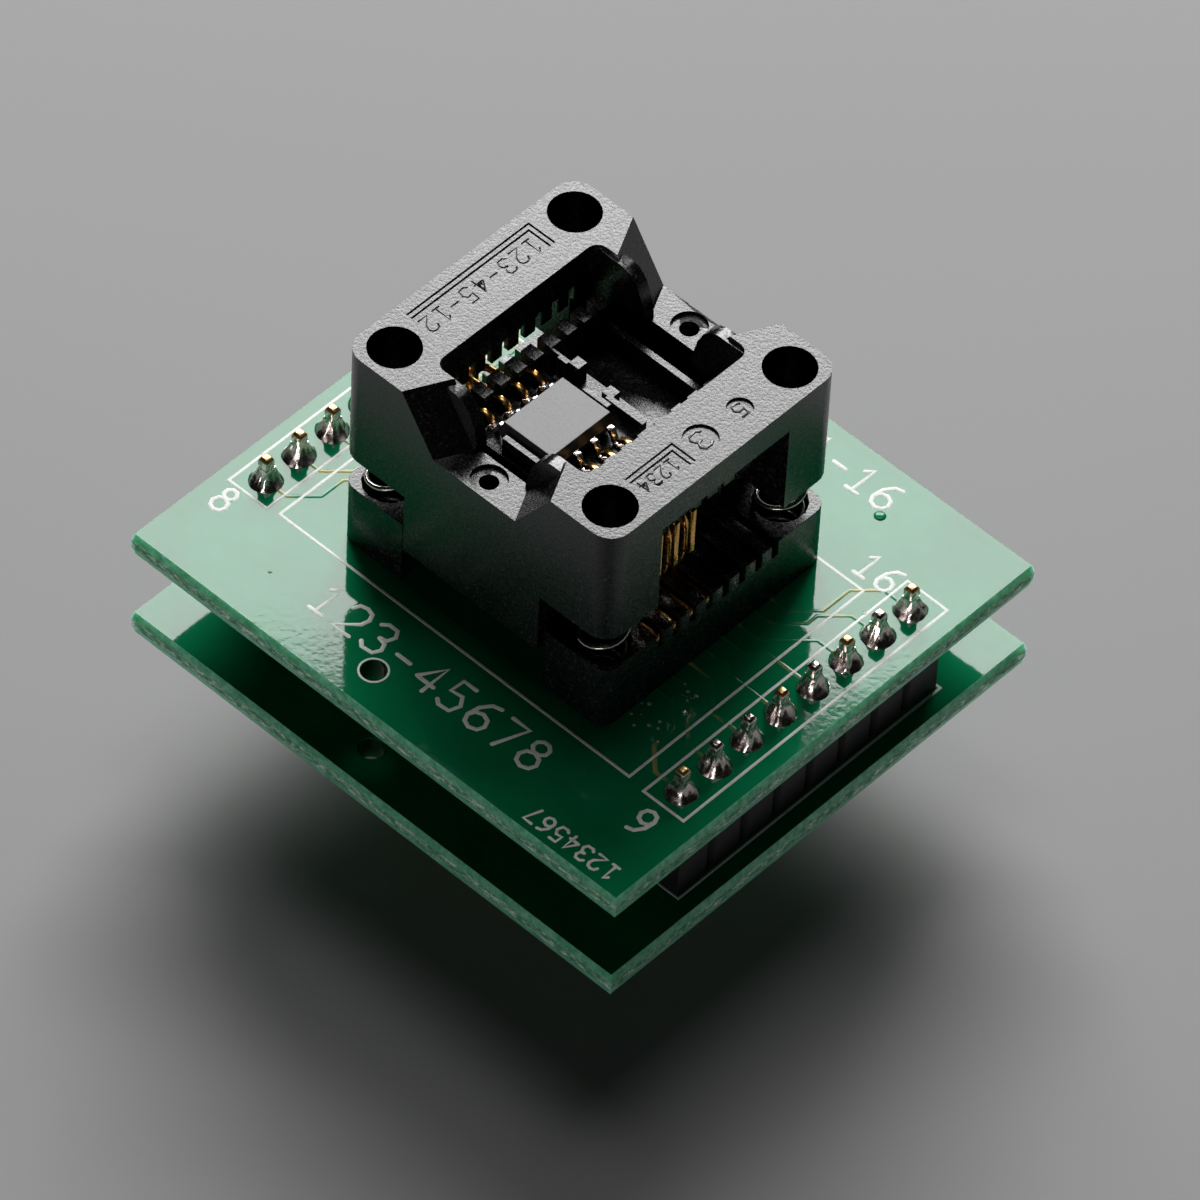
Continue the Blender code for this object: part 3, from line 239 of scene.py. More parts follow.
def bevelled(piece, width, segments=2, angle=32):
    bevel = piece.modifiers.new("edge rounding", "BEVEL")
    bevel.width = width
    bevel.segments = segments
    bevel.limit_method = "ANGLE"
    bevel.angle_limit = math.radians(angle)
    bevel.use_clamp_overlap = True
    bevel.harden_normals = True
    return piece


# Stage: camera, floor and lamps

camera = {
    "azimuth": 40.94, "elevation": 49.32, "roll": 3.23,
    "distance": 567.02 * mm,
    "target": (3.058 * mm, -1.967 * mm, 16.5 * mm),
    "focalPixels": 10683.8, "framePixels": 1200, "sensor": 36.0,
}


def placeCamera():
    turn = math.radians(camera["azimuth"])
    rise = math.radians(camera["elevation"])
    back = Vector((math.sin(turn) * math.cos(rise), -math.cos(turn) * math.cos(rise), math.sin(rise)))
    data = bpy.data.cameras.new("camera")
    data.sensor_width = camera["sensor"]
    data.lens = camera["focalPixels"] * camera["sensor"] / camera["framePixels"]
    data.clip_start = 0.01
    data.clip_end = 20
    item = addObject("camera", data)
    aim = (-back).to_track_quat("-Z", "Y").to_matrix().to_4x4()
    roll = Matrix.Rotation(math.radians(camera["roll"]), 4, "Z")
    place = Matrix.Translation(Vector(camera["target"]) + back * camera["distance"])
    item.matrix_world = place @ aim @ roll
    bpy.context.scene.camera = item
    return back


studio = {
    "floorSize": 3.0, "floorColour": "#aaaaaa",
    "worldColour": "#ffffff", "worldStrength": 0.006,
    # The key stands across from the camera; its upper edge is just what the boards' near edges mirror.
    # The top lamp reaches the near half of the boards. The fill is low, so that it reaches the boards'
    # edges and leaves their shadow dark
    "lamps": [
        # name, turn from the far side in degrees, rise in degrees, distance, width and height in m, power
        ("key softbox", 0.0, 38.0, 0.60, 0.42, 0.266, 4.6),
        ("top softbox", 0.0, 78.0, 0.60, 0.26, 0.18, 0.4),
        ("fill softbox", 158.0, 3.0, 0.90, 0.50, 0.06, 0.9),
    ],
}


def addLamp(name, turn, rise, distance, width, height, power, back):
    centre = (cadLow + cadHigh) / 2
    flat = Matrix.Rotation(math.radians(turn), 3, "Z") @ Vector((-back.x, -back.y, 0)).normalized()
    away = flat * math.cos(math.radians(rise)) + Vector((0, 0, math.sin(math.radians(rise))))
    data = bpy.data.lights.new(name, "AREA")
    data.shape = "RECTANGLE"
    data.size = width
    data.size_y = height
    data.energy = power
    lamp = addObject(name, data)
    lamp.location = centre + away * distance
    lamp.rotation_mode = "QUATERNION"
    lamp.rotation_quaternion = (-away).to_track_quat("-Z", "Y")


def paperSweep():
    # Matt studio paper: an even pale grey with only a trace of tooth
    material, tree, shader, coords = startMaterial("matt studio paper", studio["floorColour"],
                                                   {"Roughness": 0.9, "Specular IOR Level": 0.2})
    tooth = addNode(tree, "ShaderNodeTexNoise", {"Vector": coords, "Scale": 1 / (0.6 * mm), "Detail": 2.0})
    bump = addNode(tree, "ShaderNodeBump", {"Strength": 0.15, "Distance": 0.03 * mm,
                                            "Height": tooth.outputs["Fac"]})
    tree.links.new(bump.outputs["Normal"], shader.inputs["Normal"])
    return material


def setStage():
    back = placeCamera()
    floor = bmesh.new()
    bmesh.ops.create_grid(floor, x_segments=1, y_segments=1, size=studio["floorSize"] / 2)
    item = addObject("floor", meshFrom(floor, "floor"))
    item.data.materials.append(paperSweep())
    item.location.z = cadLow.z
    for lamp in studio["lamps"]:
        addLamp(*lamp, back)
    world = bpy.data.worlds.new("soft room")
    bpy.context.scene.world = world
    world.use_nodes = True
    background = world.node_tree.nodes["Background"]
    background.inputs["Color"].default_value = linear(studio["worldColour"])
    background.inputs["Strength"].default_value = studio["worldStrength"]
    bpy.context.scene.view_settings.view_transform = "Standard"
    print("stage set")


setStage()


# Materials

board = {
    # The scored flanks above and below the snapped web
    "scoreDepth": 0.13 * mm, "scoreHeight": 0.52 * mm,
    "edgeBand": 0.3 * mm, "glowDepth": 2.0 * mm,
    "padDiameter": 1.8 * mm, "padThickness": 0.03 * mm,
    "screwRingDiameter": 1.74 * mm, "screwHoleDiameter": 1.5 * mm,
    "screwHoleX": -2.0 * mm, "screwHoleFromEdge": 2.3 * mm,
}


def solderMask():
    # Glossy liquid solder mask over glass-fibre board: deep green that goes pale where it mirrors a lamp,
    # with a slow waviness that frays the edges of its reflections
    material, tree, shader, coords = startMaterial("green solder mask", "#0a7f50",
                                                   {"Roughness": 0.05, "IOR": 1.38})
    cloud = addNode(tree, "ShaderNodeTexNoise", {"Vector": coords, "Scale": 1 / (5 * mm), "Detail": 3.0})
    tint = addNode(tree, "ShaderNodeValToRGB", {"Fac": cloud.outputs["Fac"]},
                   ramp=[(0.3, linear("#087647")), (0.7, linear("#0c8859"))])
    tree.links.new(tint.outputs["Color"], shader.inputs["Base Color"])
    wave = addNode(tree, "ShaderNodeTexNoise", {"Vector": coords, "Scale": 1 / (0.35 * mm), "Detail": 2.5,
                                                "Roughness": 0.55})
    swell = addNode(tree, "ShaderNodeTexNoise", {"Vector": coords, "Scale": 1 / (2.6 * mm), "Detail": 1.0})
    fine = addNode(tree, "ShaderNodeBump", {"Strength": 0.5, "Distance": 0.0035 * mm,
                                            "Height": wave.outputs["Fac"]})
    slow = addNode(tree, "ShaderNodeBump", {"Strength": 0.5, "Distance": 0.005 * mm,
                                            "Height": swell.outputs["Fac"],
                                            "Normal": fine.outputs["Normal"]})
    tree.links.new(slow.outputs["Normal"], shader.inputs["Normal"])
    return material


def cutEdge():
    # The scored flank of the board's edge: resin and fibre cut smooth by the blade; light enters the
    # laminate and comes out pale green
    glow = {"Roughness": 0.35, "Subsurface Weight": 0.8, "Subsurface Scale": board["glowDepth"],
            "Subsurface Radius": (0.7, 1.0, 0.85)}
    material, tree, shader, coords = startMaterial("scored laminate", "#7dbf9c", glow)
    cloud = addNode(tree, "ShaderNodeTexNoise", {"Vector": coords, "Scale": 1 / (0.5 * mm), "Detail": 4.0,
                                                 "Roughness": 0.65})
    tint = addNode(tree, "ShaderNodeValToRGB", {"Fac": cloud.outputs["Fac"]},
                   ramp=[(0.35, linear("#3aa878")), (0.7, linear("#8adbb4"))])
    tree.links.new(tint.outputs["Color"], shader.inputs["Base Color"])
    return material


def laminateEdge():
    # The snapped web of the edge: torn resin with short whitish glass fibres lying along the board
    glow = {"Roughness": 0.6, "Subsurface Weight": 0.5, "Subsurface Scale": board["glowDepth"],
            "Subsurface Radius": (0.7, 1.0, 0.85)}
    material, tree, shader, coords = startMaterial("snapped laminate edge", "#84ad94", glow)
    along = addNode(tree, "ShaderNodeMapping", {"Vector": coords, "Scale": (1.0, 1.0, 2.0)})
    fibres = addNode(tree, "ShaderNodeTexNoise", {"Vector": along.outputs["Vector"],
                                                  "Scale": 1 / (0.6 * mm), "Detail": 6.0,
                                                  "Roughness": 0.8})
    tint = addNode(tree, "ShaderNodeValToRGB", {"Fac": fibres.outputs["Fac"]},
                   ramp=[(0.4, linear("#2f8058")), (0.62, linear("#eef8ec")), (0.52, linear("#7fb898"))])
    tree.links.new(tint.outputs["Color"], shader.inputs["Base Color"])
    ragged = addNode(tree, "ShaderNodeTexNoise", {"Vector": along.outputs["Vector"],
                                                  "Scale": 1 / (0.3 * mm), "Detail": 5.0,
                                                  "Roughness": 0.7})
    bump = addNode(tree, "ShaderNodeBump", {"Strength": 0.9, "Distance": 0.08 * mm,
                                            "Height": ragged.outputs["Fac"]})
    tree.links.new(bump.outputs["Normal"], shader.inputs["Normal"])
    return material


def printedInk():
    # Screen-printed white epoxy ink: matt off-white, a little thin and greenish in places
    material, tree, shader, coords = startMaterial("screen printed ink", "#f4f7f2", {"Roughness": 0.45})
    cover = addNode(tree, "ShaderNodeTexNoise", {"Vector": coords, "Scale": 1 / (0.25 * mm), "Detail": 3.0})
    tint = addNode(tree, "ShaderNodeValToRGB", {"Fac": cover.outputs["Fac"]},
                   ramp=[(0.28, linear("#cfdcd2")), (0.45, linear("#f4f7f2"))])
    tree.links.new(tint.outputs["Color"], shader.inputs["Base Color"])
    return material


def maskedCopper():
    # Copper line under the mask: the same gloss and a yellower green; the pale gold patches along it are a
    # painted glint
    material, tree, shader, coords = startMaterial("mask over copper", "#6f8a45",
                                                   {"Roughness": 0.12, "IOR": 1.38})
    # Painted glint: where this noise runs high the line turns pale gold, as if its edge caught the light
    mottle = addNode(tree, "ShaderNodeTexNoise", {"Vector": coords, "Scale": 1 / (2.5 * mm), "Detail": 2.0})
    tint = addNode(tree, "ShaderNodeValToRGB", {"Fac": mottle.outputs["Fac"]},
                   ramp=[(0.46, linear("#0b8052")), (0.62, linear("#a3a25c"))])
    tree.links.new(tint.outputs["Color"], shader.inputs["Base Color"])
    return material


def driedFlux():
    # Dried rosin flux: small glossy drops, milky where they catch the light
    return startMaterial("dried flux", "#b9c4b4", {"Roughness": 0.2, "Alpha": 0.85})[0]


def flowedSolder():
    # Hand-soldered tin-lead: bright silver, near mirror-smooth, with a few dull streaks and small wrinkles
    material, tree, shader, coords = startMaterial("flowed solder", "#b9b5ae",
                                                   {"Metallic": 1.0, "Roughness": 0.12})
    grain = addNode(tree, "ShaderNodeTexNoise", {"Vector": coords, "Scale": 1 / (0.35 * mm), "Detail": 4.0})
    tint = addNode(tree, "ShaderNodeValToRGB", {"Fac": grain.outputs["Fac"]},
                   ramp=[(0.3, linear("#b3a8a3")), (0.65, linear("#ebe0dc"))])
    gloss = addNode(tree, "ShaderNodeMapRange", {"Value": grain.outputs["Fac"], "From Min": 0.3,
                                                 "From Max": 0.7, "To Min": 0.1, "To Max": 0.3})
    wrinkle = addNode(tree, "ShaderNodeTexNoise", {"Vector": coords, "Scale": 1 / (0.5 * mm), "Detail": 3.0,
                                                   "Distortion": 0.6})
    bump = addNode(tree, "ShaderNodeBump", {"Strength": 0.5, "Distance": 0.05 * mm,
                                            "Height": wrinkle.outputs["Fac"]})
    tree.links.new(tint.outputs["Color"], shader.inputs["Base Color"])
    tree.links.new(gloss.outputs["Result"], shader.inputs["Roughness"])
    tree.links.new(bump.outputs["Normal"], shader.inputs["Normal"])
    return material


def goldPlate():
    # Flash gold over nickel on stamped copper alloy: warm yellow with an uneven gloss
    material, tree, shader, coords = startMaterial("gold flash plate", "#d9a55a",
                                                   {"Metallic": 1.0, "Roughness": 0.22})
    grain = addNode(tree, "ShaderNodeTexNoise", {"Vector": coords, "Scale": 1 / (0.2 * mm), "Detail": 3.0})
    tint = addNode(tree, "ShaderNodeValToRGB", {"Fac": grain.outputs["Fac"]},
                   ramp=[(0.3, linear("#c58d45")), (0.7, linear("#eac07a"))])
    gloss = addNode(tree, "ShaderNodeMapRange", {"Value": grain.outputs["Fac"], "From Min": 0.3,
                                                 "From Max": 0.7, "To Min": 0.16, "To Max": 0.3})
    tree.links.new(tint.outputs["Color"], shader.inputs["Base Color"])
    tree.links.new(gloss.outputs["Result"], shader.inputs["Roughness"])
    return material


def wornGold():
    # Thin gold on the header pins, a little pale and dulled by handling
    material, tree, shader, coords = startMaterial("worn gold flash", "#d8b074",
                                                   {"Metallic": 1.0, "Roughness": 0.28})
    grain = addNode(tree, "ShaderNodeTexNoise", {"Vector": coords, "Scale": 1 / (0.2 * mm), "Detail": 3.0})
    tint = addNode(tree, "ShaderNodeValToRGB", {"Fac": grain.outputs["Fac"]},
                   ramp=[(0.3, linear("#c49a5c")), (0.7, linear("#e8c894"))])
    tree.links.new(tint.outputs["Color"], shader.inputs["Base Color"])
    return material


def springSteel():
    # Drawn stainless wire: bright, with faint lengthwise drawing marks
    material, tree, shader, coords = startMaterial("drawn steel wire", "#c4c2bd",
                                                   {"Metallic": 1.0, "Roughness": 0.16})
    grain = addNode(tree, "ShaderNodeTexNoise", {"Vector": coords, "Scale": 1 / (0.15 * mm), "Detail": 2.0})
    gloss = addNode(tree, "ShaderNodeMapRange", {"Value": grain.outputs["Fac"], "From Min": 0.3,
                                                 "From Max": 0.7, "To Min": 0.12, "To Max": 0.24})
    tree.links.new(gloss.outputs["Result"], shader.inputs["Roughness"])
    return material


def sparkedMoulding():
    # Glass-filled black moulding from a spark-eroded tool: even grain that breaks a highlight into
    # grey specks, with grey flecks painted into its colour as painted sparkle
    material, tree, shader, coords = startMaterial("glass-filled black moulding", "#161618",
                                                   {"Roughness": 0.3, "IOR": 1.58})
    pits = addNode(tree, "ShaderNodeTexNoise", {"Vector": coords, "Scale": 1 / (0.17 * mm), "Detail": 3.0,
                                                "Roughness": 0.6})
    gloss = addNode(tree, "ShaderNodeMapRange", {"Value": pits.outputs["Fac"], "From Min": 0.3,
                                                 "From Max": 0.7, "To Min": 0.16, "To Max": 0.36})
    # Painted sparkle: grey flecks in the base colour stand in for the bright specks of a broken-up
    # highlight
    paintedSparkle = addNode(tree, "ShaderNodeTexNoise", {"Vector": coords, "Scale": 1 / (0.17 * mm),
                                                  "Detail": 1.5})
    tint = addNode(tree, "ShaderNodeValToRGB", {"Fac": paintedSparkle.outputs["Fac"]},
                   ramp=[(0.45, linear("#0c0c0d")), (0.78, linear("#505053")), (0.64, linear("#161618"))])
    bump = addNode(tree, "ShaderNodeBump", {"Strength": 0.8, "Distance": 0.018 * mm,
                                            "Height": pits.outputs["Fac"]})
    tree.links.new(tint.outputs["Color"], shader.inputs["Base Color"])
    tree.links.new(gloss.outputs["Result"], shader.inputs["Roughness"])
    tree.links.new(bump.outputs["Normal"], shader.inputs["Normal"])
    return material


def headerNylon():
    # Moulded black header nylon: satin, slightly uneven
    material, tree, shader, coords = startMaterial("moulded black nylon", "#0b0b0c", {"Roughness": 0.55})
    cloud = addNode(tree, "ShaderNodeTexNoise", {"Vector": coords, "Scale": 1 / (0.3 * mm), "Detail": 2.0})
    bump = addNode(tree, "ShaderNodeBump", {"Strength": 0.3, "Distance": 0.01 * mm,
                                            "Height": cloud.outputs["Fac"]})
    tree.links.new(bump.outputs["Normal"], shader.inputs["Normal"])
    return material


def chipEpoxy():
    # Transfer-moulded epoxy with a matt, sandy top: mid grey in the light, with fine dark specks
    material, tree, shader, coords = startMaterial("moulded chip epoxy", "#3a3a3b",
                                                   {"Roughness": 0.36, "IOR": 1.6})
    sand = addNode(tree, "ShaderNodeTexNoise", {"Vector": coords, "Scale": 1 / (0.16 * mm), "Detail": 3.0})
    tint = addNode(tree, "ShaderNodeValToRGB", {"Fac": sand.outputs["Fac"]},
                   ramp=[(0.33, linear("#1c1c1d")), (0.5, linear("#343435"))])
    bump = addNode(tree, "ShaderNodeBump", {"Strength": 0.4, "Distance": 0.01 * mm,
                                            "Height": sand.outputs["Fac"]})
    tree.links.new(tint.outputs["Color"], shader.inputs["Base Color"])
    tree.links.new(bump.outputs["Normal"], shader.inputs["Normal"])
    return material


maskGreen = solderMask()
edgeScored = cutEdge()
edgeLaminate = laminateEdge()
inkWhite = printedInk()
copperLine = maskedCopper()
solder = flowedSolder()
gold = goldPlate()
pinGold = wornGold()
springWire = springSteel()
moulding = sparkedMoulding()
nylon = headerNylon()
epoxy = chipEpoxy()
print("materials made")


# Boards

pins = {
    "side": 0.64 * mm, "pitch": 2.54 * mm, "perRow": 8,
    "fieldX": -0.1 * mm, "fieldY": 0.35 * mm,
    "linkRows": 30.48 * mm, "plugRows": 7.62 * mm,
    "tipLength": 0.2 * mm, "tipShare": 0.62, "edgeRadius": 0.05 * mm,
    "holeDiameter": 1.0 * mm, "tinnedTips": (3, 10, 11, 13, 15),
    "solderBase": 1.9 * mm, "solderTop": 0.72 * mm,
    "solderHeight": 1.15 * mm, "lowSolderHeight": 0.8 * mm,
    # The fillet's profile power, its squareness at the pin, its unevenness and its flutes' depth and number
    "solderSides": 40, "solderRings": 9, "hollow": 1.5, "square": 0.93, "squareFrom": 0.6,
    "wobble": 0.1, "flute": 0.16, "flutes": 2.6, "fluteStretch": 0.7,
}
upperLow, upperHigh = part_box("upper_board")
lowerLow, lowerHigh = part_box("lower_board")


def pinPlaces(spacing):
    # Numbered down the left row from the far end, then up the right row
    middle = (pins["perRow"] - 1) / 2
    along = [pins["fieldY"] + (index - middle) * pins["pitch"] for index in range(pins["perRow"])]
    left = [(pins["fieldX"] - spacing / 2, y) for y in reversed(along)]
    right = [(pins["fieldX"] + spacing / 2, y) for y in along]
    return left + right


def dressBoard(node, name):
    low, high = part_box(node)
    bm = mergedCopy(node)
    for height in (low.z + board["scoreHeight"], high.z - board["scoreHeight"]):
        everything = bm.verts[:] + bm.edges[:] + bm.faces[:]
        bmesh.ops.bisect_plane(bm, geom=everything, plane_co=(0, 0, height), plane_no=(0, 0, 1))
    middle = (low + high) / 2
    half = (high - low) / 2
    close = 0.001 * mm
    for vert in bm.verts:
        if half.z - abs(vert.co.z - middle.z) > close:
            continue
        for axis in (0, 1):
            if half[axis] - abs(vert.co[axis] - middle[axis]) < close:
                vert.co[axis] -= math.copysign(board["scoreDepth"], vert.co[axis] - middle[axis])
    bm.normal_update()
    for face in bm.faces:
        place = face.calc_center_median() - middle
        nearEdge = max(abs(place.x) - half.x, abs(place.y) - half.y) > -board["edgeBand"]
        if abs(face.normal.z) > 0.9 or not nearEdge:
            face.material_index = 0
        else:
            face.material_index = 1 if abs(place.z) > half.z - board["scoreHeight"] else 2
    materials = [maskGreen, edgeScored, edgeLaminate]
    piece = pieceFrom(bm, name, materials, "base", smoothAngle=30)
    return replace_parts(piece, node)


def addRing(bm, x, y, inner, outer, low, high, steps=24):
    profile = [(inner, low), (outer, low), (outer, high), (inner, high), (inner, low)]
    return addSpun(bm, profile, (x, y, 0), steps)


def makePads(name, places, faces):
    bm = bmesh.new()
    for x, y in places:
        for height, upward in faces:
            low = height if upward else height - board["padThickness"]
            addRing(bm, x, y, pins["holeDiameter"] / 2, board["padDiameter"] / 2, low,
                    low + board["padThickness"])
    return pieceFrom(bm, name, [solder], "base")


dressBoard("upper_board", "upperBoard")
dressBoard("lower_board", "lowerBoard")
makePads("upperPads", pinPlaces(pins["linkRows"]), [(upperHigh.z, True), (upperLow.z, False)])
makePads("lowerPads", pinPlaces(pins["linkRows"]) + pinPlaces(pins["plugRows"]),
         [(lowerHigh.z, True), (lowerLow.z, False)])
print("boards dressed")


# Print on the boards

ink = {
    "line": 0.25 * mm, "digitLine": 0.26 * mm, "smallLine": 0.19 * mm, "height": 0.022 * mm,
    "headerHalfWidth": 1.43 * mm, "headerHalfLength": 10.27 * mm,
    "socketLeft": -13.15 * mm, "socketRight": 12.5 * mm,
    "socketNear": -9.72 * mm, "socketFar": 8.45 * mm,
    # Each number: text, middle x and y, digit width and height in mm, and its turn in degrees
    "numbers": [
        ("1", -15.3, 12.1, 0.95, 1.75, 0), ("8", -15.95, -11.1, 0.95, 1.75, 0),
        ("9", 15.1, -11.45, 0.95, 1.75, 0), ("16", 12.25, 9.95, 0.95, 1.75, 0),
        ("123-45678", 0.45, -12.2, 1.25, 2.1, 0), ("1-16", 6.4, 14.2, 1.1, 1.9, 0),
    ],
    "smallNumbers": [("1234567", 13.5, -15.15, 0.6, 1.05, 180)],
    "digits": {
        "-": [[(0.1, 0.45), (0.9, 0.45)]],
        "1": [[(0.15, 0.78), (0.5, 1), (0.5, 0)], [(0.1, 0), (0.9, 0)]],
        "2": [[(0, 0.75), (0.15, 0.94), (0.5, 1), (0.85, 0.94), (1, 0.75), (0.9, 0.5), (0, 0), (1, 0)]],
        "3": [[(0, 0.86), (0.25, 1), (0.75, 1), (0.95, 0.8), (0.8, 0.57), (0.45, 0.52)],
              [(0.45, 0.52), (0.85, 0.46), (1, 0.25), (0.8, 0.03), (0.25, 0), (0, 0.14)]],
        "4": [[(0.75, 0), (0.75, 1), (0, 0.3)], [(0.1, 0.3), (1, 0.3)]],
        "5": [[(0.9, 1), (0.15, 1), (0.1, 0.55), (0.7, 0.6), (1, 0.34),
               (0.8, 0.03), (0.25, 0), (0, 0.12)]],
        "7": [[(0, 1), (1, 1), (0.35, 0)]],
    },
}


def arc(cx, cy, rx, ry, start, end, steps):
    turns = [math.radians(start + (end - start) * step / steps) for step in range(steps + 1)]
    return [(cx + rx * math.cos(turn), cy + ry * math.sin(turn)) for turn in turns]


def digitStrokes(digit):
    # Plotter digits in a box 1 wide and 1 high, as (points, closed)
    loop = arc(0.5, 0.28, 0.5, 0.28, 0, 315, 7)
    if digit == "6":
        return [(loop, True), ([(0.9, 1.0), (0.45, 0.93), (0.1, 0.65), (0.0, 0.3)], False)]
    if digit == "8":
        return [(loop, True), (arc(0.5, 0.78, 0.4, 0.22, 22, 337, 7), True)]
    if digit == "9":
        return [([(1 - x, 1 - y) for x, y in points], closed) for points, closed in digitStrokes("6")]
    return [(points, False) for points in ink["digits"][digit]]


def numberStrokes(text, x, y, width, height, turn):
    # In mm about the middle x, y; without a turn it reads along +X with the digits' tops towards +Y
    step = width * 1.5
    start = -(step * (len(text) - 1) + width) / 2
    place = Matrix.Translation((x, y, 0)) @ Matrix.Rotation(math.radians(turn), 4, "Z")
    strokes = []
    for index, digit in enumerate(text):
        for points, closed in digitStrokes(digit):
            left = start + index * step
            flat = [Vector((left + px * width, (py - 0.5) * height, 0)) for px, py in points]
            strokes.append(([(place @ point * mm).to_2d() for point in flat], closed))
    return strokes


def frameStroke(x0, y0, x1, y1):
    return [(x0, y0), (x1, y0), (x1, y1), (x0, y1)], True


def printBoards():
    strokes = [frameStroke(ink["socketLeft"], ink["socketNear"], ink["socketRight"], ink["socketFar"])]
    header = []
    for side in (-1, 1):
        x = pins["fieldX"] + side * pins["linkRows"] / 2
        header.append(frameStroke(x - ink["headerHalfWidth"], pins["fieldY"] - ink["headerHalfLength"],
                                  x + ink["headerHalfWidth"], pins["fieldY"] + ink["headerHalfLength"]))
    for name, drawn, top in (("upperLines", strokes + header, upperHigh.z),
                             ("lowerLines", header, lowerHigh.z)):
        inkPiece(name, drawn, ink["line"], ink["height"], top, inkWhite, "base")
    for name, line in (("numbers", ink["digitLine"]), ("smallNumbers", ink["smallLine"])):
        strokes = [stroke for number in ink[name] for stroke in numberStrokes(*number)]
        inkPiece("upper" + name[0].upper() + name[1:], strokes, line, ink["height"], upperHigh.z,
                 inkWhite, "base")
    bm = bmesh.new()
    addRing(bm, board["screwHoleX"], upperLow.y + board["screwHoleFromEdge"],
            board["screwHoleDiameter"] / 2, board["screwRingDiameter"] / 2,
            upperHigh.z, upperHigh.z + ink["height"], 40)
    pieceFrom(bm, "screwRing", [inkWhite], "base")


printBoards()
print("boards printed")


# Copper lines under the mask

copper = {
    "width": 0.26 * mm, "height": 0.014 * mm, "tailX": 8.4 * mm, "bendX": 2.5 * mm,
    "shortRun": 0.4 * mm,
    "placePitch": 1.27 * mm, "longRise": 2.6 * mm, "shortBend": 1.3 * mm,
    "viaX": 9.56 * mm, "viaY": 12.98 * mm, "viaDiameter": 0.7 * mm, "viaHeight": 0.1 * mm,
    "speckX": -10.65 * mm, "speckY": -12.99 * mm, "speckDiameter": 0.22 * mm, "speckHeight": 0.03 * mm,
    # Small drops of dried flux: middle x and y, spread and number
    "flux": [(11.0, -3.6, 0.7, 12), (8.8, 2.9, 0.35, 5), (10.2, -6.2, 1.2, 9), (13.4, 7.2, 0.5, 5)],
    "dropRadius": (0.03, 0.14), "dropFlatness": 0.22,
}
socketX, socketY = -0.25 * mm, 0.15 * mm


def linePath(side, index):
    # From a contact's tail to the pin with the same place in its row, straight or at half a right angle
    padX = pins["fieldX"] + side * pins["linkRows"] / 2
    padY = pins["fieldY"] + (index - (pins["perRow"] - 1) / 2) * pins["pitch"]
    x = socketX + side * copper["tailX"]
    y = socketY + (index - (pins["perRow"] - 1) / 2) * copper["placePitch"]
    rise = padY - y
    up = math.copysign(1, rise)
    path = [(x, y)]
    if abs(rise) > copper["longRise"]:
        bend = copper["shortBend"]
        x += side * copper["bendX"]
        path += [(x, y), (x + side * bend, y + up * bend), (x + side * bend, padY - up * bend),
                 (x + side * bend * 2, padY)]
    else:
        bend = abs(rise)
        x += side * (copper["bendX"] + copper["shortRun"])
        path += [(x, y), (x + side * bend, padY)]
    return path + [(padX, padY)], False


def addDome(bm, x, y, radius, height, steps=14):
    bulge = [(radius * math.cos(math.radians(turn)), height * math.sin(math.radians(turn)))
             for turn in (0, 25, 50, 72, 90)]
    return addSpun(bm, [(0, 0)] + bulge, (x, y, upperHigh.z), steps)


def dropFlux():
    # Dried flux beads beside the right header, each a flat drop of its own size
    draw = random.Random(7)
    bm = bmesh.new()
    for x, y, spread, count in copper["flux"]:
        for _ in range(count):
            radius = draw.uniform(*copper["dropRadius"]) * mm
            addDome(bm, (x + draw.gauss(0, spread / 2)) * mm, (y + draw.gauss(0, spread / 2)) * mm,
                    radius, radius * copper["dropFlatness"], 9)
    return pieceFrom(bm, "fluxDrops", [driedFlux()], "base")


def coverVia():
    # A via swollen under the mask at the far side, and a speck of mask near the front edge
    bm = bmesh.new()
    addDome(bm, copper["viaX"], copper["viaY"], copper["viaDiameter"] / 2, copper["viaHeight"], 20)
    addDome(bm, copper["speckX"], copper["speckY"], copper["speckDiameter"] / 2, copper["speckHeight"])
    return pieceFrom(bm, "coveredVia", [maskGreen], "base", smoothAngle=60)


dropFlux()
coverVia()
lines = [linePath(side, index) for side in (-1, 1) for index in range(pins["perRow"])]
inkPiece("upperTraces", lines, copper["width"], copper["height"], upperHigh.z, copperLine, "base")
print("copper laid")


# Pins with their solder

def solderBase(bm, x, y, height, reach, upward, seed, width=pins["solderBase"]):
    # A fillet that climbs the pin: round at the pad, nearly square where it ends
    draw = random.Random(seed)
    shift = Vector((draw.uniform(0, 50), draw.uniform(0, 50), draw.uniform(0, 50)))
    rings = pins["solderRings"]
    profile = [(0, 0)]
    for ring in range(rings + 1):
        share = ring / rings
        top = pins["solderTop"] * width / pins["solderBase"]
        radius = top / 2 + (width - top) / 2 * (1 - share) ** pins["hollow"]
        profile.append((radius, reach * share))
    profile.append((0, reach))
    made = addSpun(bm, profile, (0, 0, 0), pins["solderSides"])
    for vert in made:
        share = vert.co.z / reach
        radius = math.hypot(vert.co.x, vert.co.y)
        if radius < 0.01 * mm:
            continue
        cosine, sine = vert.co.x / radius, vert.co.y / radius
        square = 1 / max(abs(cosine), abs(sine)) * pins["square"]
        # Uneven all round, with flutes that run down from the pin and fade at the rim
        wobble = 1 + pins["wobble"] * noise.noise(Vector((cosine, sine, share)) + shift)
        around = Vector((cosine * pins["flutes"], sine * pins["flutes"], share * pins["fluteStretch"]))
        flute = noise.noise(around + shift * 2)
        wobble += pins["flute"] * flute * 4 * share * (1 - share)
        grow = (1 + (square - 1) * share ** pins["squareFrom"]) * wobble
        vert.co.x *= grow
        vert.co.y *= grow
    flip = 1 if upward else -1
    for vert in made:
        vert.co = Vector((x + vert.co.x, y + vert.co.y, height + flip * vert.co.z))
    if not upward:
        bmesh.ops.reverse_faces(bm, faces=list({face for vert in made for face in vert.link_faces}))
    for face in {face for vert in made for face in vert.link_faces}:
        face.material_index = 0


